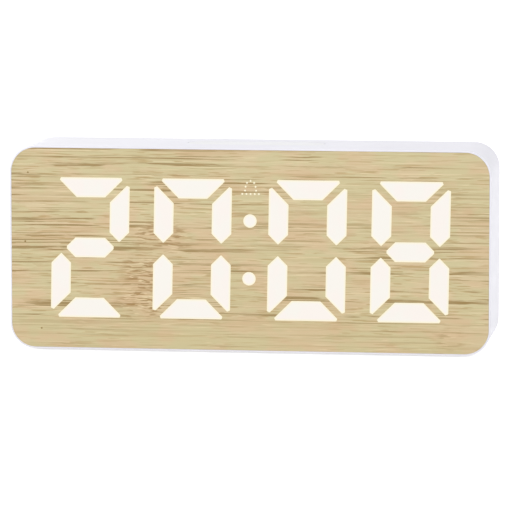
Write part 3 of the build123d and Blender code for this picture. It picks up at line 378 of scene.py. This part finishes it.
def moulded_plastic(name, tint, grain, depth, roughness, seed=0.0):
    """ABS as moulded: an even satin white that the tool's grain breaks up a little. The grain is
    drawn somewhat coarser than on the real tool, so that it shows."""
    material, tree, shader, place = finish_of(name, Roughness=roughness, IOR=1.5)
    cloud, flow_mark = 26 * MM, 3 * MM
    clouds = patches(tree, place, (cloud,) * 3, 0.3, 0.7, seed=seed)
    shade = tuple(channel * 0.965 for channel in tint[:3]) + (1.0,)
    plug(tree, shader, "Base Color", overlay(tree, tint, clouds, shade, 1.0))
    rough = patches(tree, place, (flow_mark,) * 3, 0.3, 0.7, seed=seed + 2.0)
    vary(tree, shader, "Roughness", rough, roughness - 0.04, roughness + 0.05)
    emboss(tree, shader, patches(tree, place, (grain,) * 3, 0.3, 0.7, 3.0, seed), depth)
    return material


def printed_ink(colours):
    """Pad-printed grey ink: flat and matt, with a slightly uneven cover."""
    material, tree, shader, place = finish_of("pad_printed_ink", Roughness=0.6)
    blotch = 0.3 * MM
    thin = patches(tree, place, (blotch,) * 3, 0.4, 0.7)
    plug(tree, shader, "Base Color", overlay(tree, colours.ink, thin, colours.cover_white, 0.15))
    return material


def plated(name, tint, roughness, grit, seed=0.0):
    """Plated metal: bright, with small uneven dull places from the bath and from handling."""
    material, tree, shader, place = finish_of(name, Base_Color=tint, Metallic=1.0)
    relief = 0.004 * MM
    dull = patches(tree, place, (grit,) * 3, 0.35, 0.7, 3.0, seed)
    vary(tree, shader, "Roughness", dull, roughness, roughness + 0.18)
    emboss(tree, shader, dull, relief)
    return material


def moulded_resin(name, tint, roughness):
    """Filled moulding resin of small parts: dark, dull and faintly sandy."""
    material, tree, shader, place = finish_of(name)
    filler, relief = 0.12 * MM, 0.006 * MM
    sand = patches(tree, place, (filler,) * 3, 0.3, 0.7, 3.0)
    lighter = tuple(min(1.0, channel * 1.8 + 0.01) for channel in tint[:3]) + (1.0,)
    plug(tree, shader, "Base Color", overlay(tree, tint, sand, lighter, 0.3))
    vary(tree, shader, "Roughness", sand, roughness, roughness + 0.12)
    emboss(tree, shader, sand, relief)
    return material


def circuit_board():
    """Glass-fibre laminate under green solder mask, with tracks that show through it."""
    material, tree, shader, place = finish_of("glass_laminate_board", Roughness=0.32, IOR=1.5)
    spacing, relief = 5 * MM, 0.03 * MM
    flat = add(tree, "ShaderNodeMapping", {"Vector": place, "Scale": (1.0, 0.0, 1.0)}).outputs[0]
    near, second = (add(tree, "ShaderNodeTexVoronoi", {"Vector": flat, "Scale": 1 / spacing},
                        feature=feature, distance="CHEBYCHEV").outputs["Distance"]
                    for feature in ("F1", "F2"))
    between = add(tree, "ShaderNodeMath", {0: second, 1: near}, operation="SUBTRACT").outputs[0]
    track = add(tree, "ShaderNodeMapRange", {"Value": between, "From Min": 0.1, "From Max": 0.05})
    mask = overlay(tree, linear("#14532F"), track.outputs[0], linear("#2C7A4B"), 0.9)
    normal = add(tree, "ShaderNodeNewGeometry", {}).outputs["Normal"]
    facing = add(tree, "ShaderNodeSeparateXYZ", {"Vector": normal}).outputs["Y"]
    level = add(tree, "ShaderNodeMath", {0: facing}, operation="ABSOLUTE").outputs[0]
    edge = add(tree, "ShaderNodeMapRange", {"Value": level, "From Min": 0.6, "From Max": 0.4})
    plug(tree, shader, "Base Color",
         overlay(tree, mask, edge.outputs[0], linear("#B9A465"), 1.0))
    emboss(tree, shader, track.outputs[0], relief)
    return material


def chip_resistor():
    """Glazed ceramic chips: black between two tinned ends."""
    material, tree, shader, place = finish_of("glazed_chip_resistor", Roughness=0.3)
    low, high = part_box("chip_resistors")
    height = add(tree, "ShaderNodeSeparateXYZ", {"Vector": place}).outputs["Z"]
    middle = (low.z + high.z) / 2
    from_middle = add(tree, "ShaderNodeMath", {0: height, 1: middle}, operation="SUBTRACT")
    away = add(tree, "ShaderNodeMath", {0: from_middle.outputs[0]}, operation="ABSOLUTE")
    reach = (high.z - low.z) / 2
    end = add(tree, "ShaderNodeMapRange",
              {"Value": away.outputs[0], "From Min": reach * 0.6, "From Max": reach * 0.64})
    plug(tree, shader, "Base Color",
         overlay(tree, linear("#17181A"), end.outputs[0], linear("#C7C8C9"), 1.0))
    plug(tree, shader, "Metallic", end.outputs[0])
    return material


def soft_silicone(colours):
    """Silicone feet: soft, milky and slightly translucent, with dust on the skin."""
    milkiness, dust_spot, grain, relief = 1.5 * MM, 1.2 * MM, 0.2 * MM, 0.008 * MM
    material, tree, shader, place = finish_of(
        "milky_silicone", Roughness=0.6, IOR=1.41, Subsurface_Weight=0.25,
        Subsurface_Scale=milkiness)
    dust = patches(tree, place, (dust_spot,) * 3, 0.45, 0.7, 3.0)
    plug(tree, shader, "Base Color", overlay(tree, colours.rubber, dust, linear("#B8B7B2"), 0.4))
    emboss(tree, shader, patches(tree, place, (grain,) * 3, 0.3, 0.7), relief)
    return material


def clear_film(name, tint, roughness):
    """Milky sheets and tapes of the display: even, with a faint cloudiness."""
    material, tree, shader, place = finish_of(name, Roughness=roughness)
    cloud_side = 8 * MM
    cloud = patches(tree, place, (cloud_side,) * 3, 0.3, 0.7)
    darker = tuple(channel * 0.92 for channel in tint[:3]) + (1.0,)
    plug(tree, shader, "Base Color", overlay(tree, tint, cloud, darker, 1.0))
    return material


# Modelling steps

def begin():
    """Goes back to object mode with nothing selected."""
    if bpy.context.object and bpy.context.object.mode != "OBJECT":
        bpy.ops.object.mode_set(mode="OBJECT")
    bpy.ops.object.select_all(action="DESELECT")


def start_editing():
    """Settles the new primitive's place into its mesh and opens it for editing."""
    bpy.ops.object.transform_apply(location=True, rotation=True, scale=True)
    bpy.ops.object.mode_set(mode="EDIT")


def stop_editing():
    """Closes the edited piece and returns it."""
    bpy.ops.object.mode_set(mode="OBJECT")
    return bpy.context.object


def pick_faces(test):
    """Selects only the faces whose middle and normal pass a test."""
    bpy.ops.mesh.select_mode(type="FACE")
    bpy.ops.mesh.select_all(action="DESELECT")
    form = bmesh.from_edit_mesh(bpy.context.object.data)
    for face in form.faces:
        face.select_set(test(face.calc_center_median(), face.normal))
    bmesh.update_edit_mesh(bpy.context.object.data)


def pick_edges_along(axis):
    """Selects only the straight edges that run along an axis."""
    bpy.ops.mesh.select_mode(type="EDGE")
    bpy.ops.mesh.select_all(action="DESELECT")
    form = bmesh.from_edit_mesh(bpy.context.object.data)
    for edge in form.edges:
        run = (edge.verts[1].co - edge.verts[0].co).normalized()
        edge.select_set(abs(run.dot(axis)) > 0.99)
    bmesh.update_edit_mesh(bpy.context.object.data)


def soften(piece, width, segments=2):
    """Rounds the piece's sharp edges and shades the rest smooth."""
    bevel = piece.modifiers.new("Edges", "BEVEL")
    bevel.width = width
    bevel.segments = segments
    bevel.limit_method = "ANGLE"
    bevel.angle_limit = math.radians(38)
    bpy.context.view_layer.objects.active = piece
    bpy.ops.object.modifier_apply(modifier=bevel.name)
    bpy.ops.object.shade_smooth_by_angle(angle=math.radians(40))
    return piece


def copies(piece, shifts):
    """The piece and its copies, each with its own mesh, moved by the shifts."""
    made = []
    for shift in shifts:
        copy = piece.copy()
        copy.data = piece.data.copy()
        copy.data.transform(Matrix.Translation(shift))
        bpy.context.collection.objects.link(copy)
        made.append(copy)
    bpy.data.objects.remove(piece)
    return made


def joined(pieces, name):
    """One piece out of several."""
    begin()
    for piece in pieces:
        piece.select_set(True)
    bpy.context.view_layer.objects.active = pieces[0]
    if len(pieces) > 1:
        bpy.ops.object.join()
    whole = bpy.context.object
    whole.name = whole.data.name = name
    return whole


def settle(piece, material, body):
    """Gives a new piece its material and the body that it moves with."""
    piece.data.materials.clear()
    piece.data.materials.append(material)
    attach(piece, body)
    return piece


def dress(material, *names):
    """Gives nodes of the construction a material."""
    for name in names:
        NODES[name].material_slots[0].material = material


def stroke(middle, size, corner):
    """A flat bar with round ends, drawn in X and Z."""
    begin()
    bpy.ops.mesh.primitive_cube_add(size=1, location=middle, scale=size)
    start_editing()
    pick_edges_along(Vector((0, 1, 0)))
    bpy.ops.mesh.bevel(offset=corner, segments=4, affect="EDGES")
    return stop_editing()


def plus(middle, size, width, thickness):
    """A flat plus sign, drawn in X and Z: its arms are drawn out of a small block."""
    begin()
    bpy.ops.mesh.primitive_cube_add(size=1, location=middle, scale=(width, thickness, width))
    start_editing()
    pick_faces(lambda centre, normal: abs(normal.y) < 0.5)
    bpy.ops.mesh.extrude_faces_move(
        TRANSFORM_OT_shrink_fatten={"value": (size - width) / 2})
    return stop_editing()


def arrow(middle, size, thickness, point_up):
    """A flat triangle with soft corners that points up or down."""
    begin()
    turn = math.radians(90 if point_up else -90)
    bpy.ops.mesh.primitive_cylinder_add(vertices=3, radius=size / 2, depth=thickness,
                                        location=middle, rotation=(turn, 0, 0))
    start_editing()
    pick_edges_along(Vector((0, 1, 0)))
    bpy.ops.mesh.bevel(offset=size * 0.08, segments=3, affect="EDGES")
    return stop_editing()


def ring(middle, size, width, thickness):
    """A flat ring, drawn in X and Z: both ends of a disc are inset and joined through."""
    begin()
    bpy.ops.mesh.primitive_cylinder_add(vertices=40, radius=size / 2, depth=thickness,
                                        location=middle, rotation=(math.radians(90), 0, 0))
    start_editing()
    pick_faces(lambda centre, normal: abs(normal.y) > 0.9)
    bpy.ops.mesh.inset(thickness=width)
    bpy.ops.mesh.bridge_edge_loops()
    return stop_editing()


# Operators

class CLOCK_OT_front_panel(bpy.types.Operator):
    """Finish the bamboo-look front panel"""
    bl_idname = "clock.front_panel"
    bl_label = "Front panel"

    def execute(self, context):
        scene = context.scene
        dress(bamboo_print(scene.clock_colours, scene.clock_sizes), "wood_panel")
        return {"FINISHED"}


class CLOCK_OT_lit_display(bpy.types.Operator):
    """Light the digits, the colon and the small bell"""
    bl_idname = "clock.lit_display"
    bl_label = "Lit display"

    def execute(self, context):
        lit = [name for name in NODES if name.startswith("lit_")]
        dress(lit_film(context.scene.clock_colours, context.scene.clock_sizes), *lit)
        return {"FINISHED"}


class CLOCK_OT_white_mouldings(bpy.types.Operator):
    """Finish the housing, the rear cover, the battery door, the keys and the feet"""
    bl_idname = "clock.white_mouldings"
    bl_label = "White mouldings"

    def execute(self, context):
        colours = context.scene.clock_colours
        sizes = context.scene.clock_sizes
        dress(moulded_plastic("satin_moulded_abs", tuple(colours.shell_white), sizes.shell_grain,
                              depth=0.006 * MM, roughness=0.42), "housing")
        dress(moulded_plastic("spark_grained_abs", tuple(colours.cover_white), sizes.cover_grain,
                              depth=0.02 * MM, roughness=0.52, seed=4.0),
              "rear_cover", "battery_door")
        keys = [name for name in NODES if name.endswith("_button")]
        dress(moulded_plastic("fine_moulded_key_abs", tuple(colours.key_white), sizes.shell_grain,
                              depth=0.004 * MM, roughness=0.36, seed=7.0), *keys)
        dress(soft_silicone(colours), "rubber_feet")
        return {"FINISHED"}


class CLOCK_OT_display_stack(bpy.types.Operator):
    """Finish the tape, the diffuser, the reflector and the lamps behind the panel"""
    bl_idname = "clock.display_stack"
    bl_label = "Display stack"

    def execute(self, context):
        dress(clear_film("acrylic_foam_tape", linear("#DCDCD6"), 0.7), "panel_tape")
        dress(clear_film("milky_diffuser_sheet", linear("#F2F2F0"), 0.5), "diffuser_sheet")
        dress(moulded_plastic("glossy_white_polycarbonate", linear("#F4F4F4"), grain=0.4 * MM,
                              depth=0.003 * MM, roughness=0.2, seed=9.0), "display_reflector")
        dress(clear_film("yellow_lamp_resin", linear("#E8D98A"), 0.25), "display_leds")
        return {"FINISHED"}


class CLOCK_OT_electronics(bpy.types.Operator):
    """Finish the boards and everything that is soldered to them"""
    bl_idname = "clock.electronics"
    bl_label = "Electronics"

    def execute(self, context):
        dress(circuit_board(), "display_board", "main_board")
        dress(moulded_resin("black_moulding_resin", linear("#1D1D1F"), 0.5),
              "driver_chip", "controller_chip", "buzzer", "rear_switches", "snooze_switch")
        dress(moulded_resin("black_connector_nylon", linear("#222225"), 0.42),
              "header_plug", "header_socket", "usb_tongue")
        dress(moulded_resin("dipped_sensor_resin", linear("#1A1A1A"), 0.25), "thermistor")
        dress(moulded_resin("shrunk_capacitor_sleeve", linear("#1B2236"), 0.28), "capacitor")
        plungers = [name for name in NODES if name.endswith("_plunger")]
        dress(moulded_resin("plunger_nylon", linear("#2E2E30"), 0.4), *plungers)
        dress(chip_resistor(), "chip_resistors")
        dress(plated("dull_tin", linear("#C9CACB"), roughness=0.35, grit=0.6 * MM),
              "chip_legs", "clock_crystal")
        return {"FINISHED"}


class CLOCK_OT_metal_parts(bpy.types.Operator):
    """Finish the screws, the battery contacts and the shell of the inlet"""
    bl_idname = "clock.metal_parts"
    bl_label = "Metal parts"

    def execute(self, context):
        dress(plated("zinc_plated_steel", linear("#B4B7BA"), roughness=0.28, grit=0.8 * MM,
                     seed=2.0), "rear_screws", "main_board_screws", "display_board_screws")
        dress(plated("nickel_plated_spring_steel", linear("#CFCCC4"), roughness=0.2,
                     grit=1.2 * MM, seed=5.0), "contact_plates", "contact_springs", "battery_strip")
        dress(plated("drawn_nickel_shell", linear("#C4C4C6"), roughness=0.24, grit=1.0 * MM,
                     seed=6.0), "usb_shell")
        return {"FINISHED"}


class CLOCK_OT_inlet_contacts(bpy.types.Operator):
    """Lay two rows of gilt contacts on the tongue of the inlet"""
    bl_idname = "clock.inlet_contacts"
    bl_label = "Inlet contacts"

    def execute(self, context):
        sizes = context.scene.clock_sizes
        low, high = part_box("usb_tongue")
        middle = (low + high) / 2
        reach = (high.y - low.y) * 0.8
        start = stroke((middle.x, high.y - reach / 2 - sizes.contact_inset, middle.z),
                       (sizes.contact_width, reach, 2 * sizes.contact_height), sizes.contact_edge)
        shifts = []
        for column in range(sizes.contact_columns):
            across = (column - (sizes.contact_columns - 1) / 2) * sizes.contact_pitch
            shifts += [(across, 0, low.z - middle.z), (across, 0, high.z - middle.z)]
        contacts = joined(copies(start, shifts), "inlet_contacts")
        soften(contacts, sizes.contact_edge, 1)
        gilt = plated("gilt_contact", linear("#D9B15F"), roughness=0.25, grit=0.5 * MM, seed=3.0)
        settle(contacts, gilt, "clock_body")
        return {"FINISHED"}


class CLOCK_OT_rear_signs(bpy.types.Operator):
    """Print plain signs above the rear keys, over the inlet and on the battery door"""
    bl_idname = "clock.rear_signs"
    bl_label = "Rear signs"

    def execute(self, context):
        sizes = context.scene.clock_sizes
        ink = printed_ink(context.scene.clock_colours)
        size, width, thick = sizes.sign_size, sizes.sign_stroke, sizes.ink_thickness
        end = width * 0.45
        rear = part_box("rear_cover")[1].y
        places = {}
        for name in ("mode", "up", "down", "alarm"):
            low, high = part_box(f"{name}_button")
            places[name] = (low + high) / 2
        rise = places["mode"].z + sizes.sign_rise
        middle = {name: Vector((place.x, rear, rise)) for name, place in places.items()}

        lines = [stroke(middle["mode"] + Vector((0, 0, step * size * 0.36)), (size, thick, width),
                        end) for step in (-1, 0, 1)]
        up = arrow(middle["up"], size * 1.15, thick, True)
        down = arrow(middle["down"], size * 1.15, thick, False)
        dial = ring(middle["alarm"], size * 1.15, width, thick)
        hands = [stroke(middle["alarm"] + Vector((0, 0, size * 0.16)), (width, thick, size * 0.42),
                        end),
                 stroke(middle["alarm"] + Vector((-size * 0.13, 0, 0)), (size * 0.34, thick, width),
                        end)]
        low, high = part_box("usb_shell")
        supply = Vector(((low.x + high.x) / 2, rear, high.z + sizes.inlet_sign_rise))
        current = [stroke(supply + Vector((0, 0, width)), (size * 1.3, thick, width), end)]
        current += [stroke(supply + Vector((step * size * 0.48, 0, -width)),
                           (size * 0.34, thick, width), end) for step in (-1, 0, 1)]
        signs = joined(lines + [up, down, dial] + hands + current, "rear_signs")
        soften(signs, thick * 0.3, 1)
        settle(signs, ink, "clock_body")

        low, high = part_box("battery_door")
        centre = Vector(((low.x + high.x) / 2, rear, high.z - sizes.door_sign_drop))
        shaft = stroke(centre + Vector((0, 0, size * 0.6)), (width * 2, thick, size * 0.9),
                       width * 0.5)
        head = arrow(centre - Vector((0, 0, size * 0.4)), size * 1.3, thick, False)
        door_sign = joined([shaft, head], "door_sign")
        soften(door_sign, thick * 0.3, 1)
        settle(door_sign, ink, "battery_lid")
        return {"FINISHED"}


class CLOCK_OT_door_marks(bpy.types.Operator):
    """Mould plus and minus marks into the battery door, which show how the cells lie"""
    bl_idname = "clock.door_marks"
    bl_label = "Door marks"

    def execute(self, context):
        sizes = context.scene.clock_sizes
        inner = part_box("rear_cover")[1].y - sizes.door_thickness
        thick = 2 * sizes.mark_height
        marks = []
        for name in ("battery_1", "battery_2", "battery_3"):
            low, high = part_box(name)
            middle = (low + high) / 2
            side = button_side(name)
            reach = (high.x - low.x) * 0.36
            plus_at = Vector((middle.x + side * reach, inner, middle.z))
            minus_at = Vector((middle.x - side * reach, inner, middle.z))
            marks.append(plus(plus_at, sizes.mark_size, sizes.mark_stroke, thick))
            marks.append(stroke(minus_at, (sizes.mark_size, thick, sizes.mark_stroke),
                                sizes.mark_stroke * 0.3))
        door_marks = joined(marks, "door_marks")
        soften(door_marks, sizes.mark_edge, 2)
        settle(door_marks, NODES["battery_door"].material_slots[0].material,
               "battery_lid")
        return {"FINISHED"}


def button_side(name):
    """Which way along X a cell's button end points, 1 or -1."""
    low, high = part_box(name)
    reach = max(abs(vert.co.z - (low.z + high.z) / 2) for vert in NODES[name].data.vertices
                if vert.co.x > high.x - LEVEL)
    return 1 if reach < (high.z - low.z) / 3 else -1


def cell(name, sizes):
    """A cell: its sleeve wraps over both ends, a groove runs round the button, the base has a
    shallow dish."""
    low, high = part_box(name)
    side = button_side(name)
    middle = (low + high) / 2
    radius = (high.z - low.z) / 2
    button = sizes.button_height
    can = high.x - low.x - button
    centre = (middle.x - side * button / 2, middle.y, middle.z)
    begin()
    bpy.ops.mesh.primitive_cylinder_add(vertices=64, radius=radius, depth=can, location=centre,
                                        rotation=(0, math.radians(90) * side, 0))
    start_editing()
    bpy.ops.mesh.select_all(action="SELECT")
    band_x = centre[0] + side * (can / 2 - sizes.band_width)
    bpy.ops.mesh.bisect(plane_co=(band_x, 0, 0), plane_no=(1, 0, 0))

    # Each step goes inwards and then along the cell: out of the can where it is positive
    wrap, film = sizes.sleeve_wrap, sizes.sleeve_film
    lean, depth = sizes.groove_lean, sizes.groove_depth
    shoulder = (radius - wrap) * 0.32
    to_button = radius - wrap - film - shoulder - sizes.groove_width - sizes.button_radius
    button_steps = [(wrap, 0.0), (film, -film), (shoulder, 0.0), (lean, -depth),
                    (sizes.groove_width - 2 * lean, 0.0), (lean, depth), (to_button, sizes.crown),
                    (sizes.button_lean, button - sizes.crown)]
    base_steps = [(wrap, 0.0), (film, -film), (radius * 0.2, 0.0),
                  (sizes.dish_lean, -sizes.dish_depth)]
    for way, steps in ((side, button_steps), (-side, base_steps)):
        end_x = centre[0] + way * can / 2
        pick_faces(lambda point, normal: abs(point.x - end_x) < LEVEL and abs(normal.x) > 0.9)
        for inwards, along in steps:
            bpy.ops.mesh.inset(thickness=inwards, depth=along)
    piece = stop_editing()
    piece.name = piece.data.name = name.replace("battery", "cell")
    piece["button_side"] = side
    return piece


class CLOCK_OT_cells(bpy.types.Operator):
    """Model the three cells with their sleeves, shoulders, grooves and buttons"""
    bl_idname = "clock.cells"
    bl_label = "Cells"

    def execute(self, context):
        colours = context.scene.clock_colours
        sizes = context.scene.clock_sizes
        sleeve = clear_film("shrunk_cell_sleeve", tuple(colours.sleeve), 0.3)
        band = clear_film("silver_cell_band", tuple(colours.sleeve_band), 0.28)
        metal = plated("nickel_plated_can", linear("#C9C9C7"), roughness=0.22, grit=1.5 * MM,
                       seed=7.0)
        for name in ("battery_1", "battery_2", "battery_3"):
            piece = cell(name, sizes)
            soften(piece, sizes.cell_edge, 3)
            low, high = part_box(name)
            side = piece["button_side"]
            axis = (low + high) / 2
            radius = (high.z - low.z) / 2
            button_end = high.x if side > 0 else low.x
            for material in (sleeve, band, metal):
                piece.data.materials.append(material)
            for face in piece.data.polygons:
                off = math.hypot(face.center.y - axis.y, face.center.z - axis.z)
                from_button = abs(face.center.x - button_end)
                if off < radius - sizes.sleeve_wrap:
                    face.material_index = 2
                elif from_button < sizes.band_width + sizes.button_height:
                    face.material_index = 1
            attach(piece, "clock_body")
            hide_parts(name)
        return {"FINISHED"}


class CLOCK_OT_stage(bpy.types.Operator):
    """Set the pale floor, the soft lights and the camera"""
    bl_idname = "clock.stage"
    bl_label = "Stage"

    def execute(self, context):
        view = context.scene.clock_view
        begin()
        bpy.ops.mesh.primitive_plane_add(size=view.floor_side)
        floor = context.object
        floor.name = floor.data.name = "floor"
        floor.data.materials.append(pale_floor(view.floor_glow))
        context.scene.world = soft_room(view.ambient)
        for name, (place, side) in LIGHTS.items():
            soft_light(name, getattr(view, f"{name}_power"), Vector(place), side)
        place_camera(context.scene, view)
        context.scene.view_settings.view_transform = "Standard"
        return {"FINISHED"}


def seen_directly(tree):
    """High for rays that come from the camera, or by way of gloss or glass."""
    path = add(tree, "ShaderNodeLightPath", {})
    both = add(tree, "ShaderNodeMath",
               {0: path.outputs["Is Camera Ray"], 1: path.outputs["Is Glossy Ray"]},
               operation="MAXIMUM").outputs[0]
    return add(tree, "ShaderNodeMath", {0: both, 1: path.outputs["Is Transmission Ray"]},
               operation="MAXIMUM").outputs[0]


def pale_floor(strength):
    """Matt white paper, which looks pure white where no shadow falls on it."""
    material = bpy.data.materials.new("white_paper")
    material.use_nodes = True
    tree = material.node_tree
    tree.nodes.clear()
    paper = add(tree, "ShaderNodeBsdfDiffuse", {"Color": linear("#E4E4E4")})
    glow = add(tree, "ShaderNodeEmission", {"Color": (1, 1, 1, 1), "Strength": strength})
    bright = add(tree, "ShaderNodeAddShader", {0: paper.outputs[0], 1: glow.outputs[0]})
    mix = add(tree, "ShaderNodeMixShader",
              {0: seen_directly(tree), 1: paper.outputs[0], 2: bright.outputs[0]})
    add(tree, "ShaderNodeOutputMaterial", {"Surface": mix.outputs[0]})
    return material


def soft_room(ambient):
    """An even light from all round, in front of a background that looks pure white."""
    world = bpy.data.worlds.new("soft_room")
    world.use_nodes = True
    tree = world.node_tree
    tree.nodes.clear()
    even = add(tree, "ShaderNodeBackground", {"Color": (1, 1, 1, 1), "Strength": ambient})
    white = add(tree, "ShaderNodeBackground", {"Color": (1, 1, 1, 1), "Strength": 1.0})
    mix = add(tree, "ShaderNodeMixShader",
              {0: seen_directly(tree), 1: even.outputs[0], 2: white.outputs[0]})
    add(tree, "ShaderNodeOutputWorld", {"Surface": mix.outputs[0]})
    return world


def soft_light(name, power, place, side):
    """A large square light that faces the clock."""
    data = bpy.data.lights.new(name, "AREA")
    data.energy = power
    data.size = side
    light = bpy.data.objects.new(name, data)
    light.location = place
    light.rotation_euler = (-place).to_track_quat("-Z", "Y").to_euler()
    bpy.context.scene.collection.objects.link(light)


def place_camera(scene, view):
    """The camera, aimed at a point near the middle of the front panel."""
    low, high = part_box("wood_panel")
    target = Vector(((low.x + high.x) / 2 + view.aim_right, low.y,
                     (low.z + high.z) / 2 + view.aim_up))
    back = Vector((math.sin(view.azimuth) * math.cos(view.elevation),
                   -math.cos(view.azimuth) * math.cos(view.elevation), math.sin(view.elevation)))
    data = bpy.data.cameras.new("camera")
    data.sensor_width = 36.0
    data.lens = view.lens
    camera = bpy.data.objects.new("camera", data)
    camera.location = target + back * view.distance
    camera.rotation_euler = (-back).to_track_quat("-Z", "Y").to_euler()
    scene.collection.objects.link(camera)
    scene.camera = camera


class CLOCK_PT_panel(bpy.types.Panel):
    """Lists the steps of the clock in the sidebar"""
    bl_idname = "CLOCK_PT_panel"
    bl_label = "Desk clock"
    bl_space_type = "VIEW_3D"
    bl_region_type = "UI"
    bl_category = "Clock"

    def draw(self, context):
        for operator in OPERATORS:
            self.layout.operator(operator.bl_idname)


GROUPS = {"clock_colours": ClockColours, "clock_sizes": ClockSizes, "clock_view": ClockView}
OPERATORS = (
    CLOCK_OT_front_panel, CLOCK_OT_lit_display, CLOCK_OT_white_mouldings, CLOCK_OT_display_stack,
    CLOCK_OT_electronics, CLOCK_OT_metal_parts, CLOCK_OT_inlet_contacts, CLOCK_OT_rear_signs,
    CLOCK_OT_door_marks, CLOCK_OT_cells, CLOCK_OT_stage,
)


def register():
    for group in GROUPS.values():
        bpy.utils.register_class(group)
    for name, group in GROUPS.items():
        setattr(bpy.types.Scene, name, PointerProperty(type=group))
    for operator in OPERATORS:
        bpy.utils.register_class(operator)
    bpy.utils.register_class(CLOCK_PT_panel)


def unregister():
    bpy.utils.unregister_class(CLOCK_PT_panel)
    for operator in reversed(OPERATORS):
        bpy.utils.unregister_class(operator)
    for name in GROUPS:
        delattr(bpy.types.Scene, name)
    for group in reversed(list(GROUPS.values())):
        bpy.utils.unregister_class(group)


def main():
    """Registers the clock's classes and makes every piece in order."""
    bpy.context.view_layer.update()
    register()
    bpy.ops.clock.front_panel()
    bpy.ops.clock.lit_display()
    bpy.ops.clock.white_mouldings()
    bpy.ops.clock.display_stack()
    bpy.ops.clock.electronics()
    bpy.ops.clock.metal_parts()
    bpy.ops.clock.inlet_contacts()
    bpy.ops.clock.rear_signs()
    bpy.ops.clock.door_marks()
    bpy.ops.clock.cells()
    bpy.ops.clock.stage()


if __name__ == "__main__":
    main()
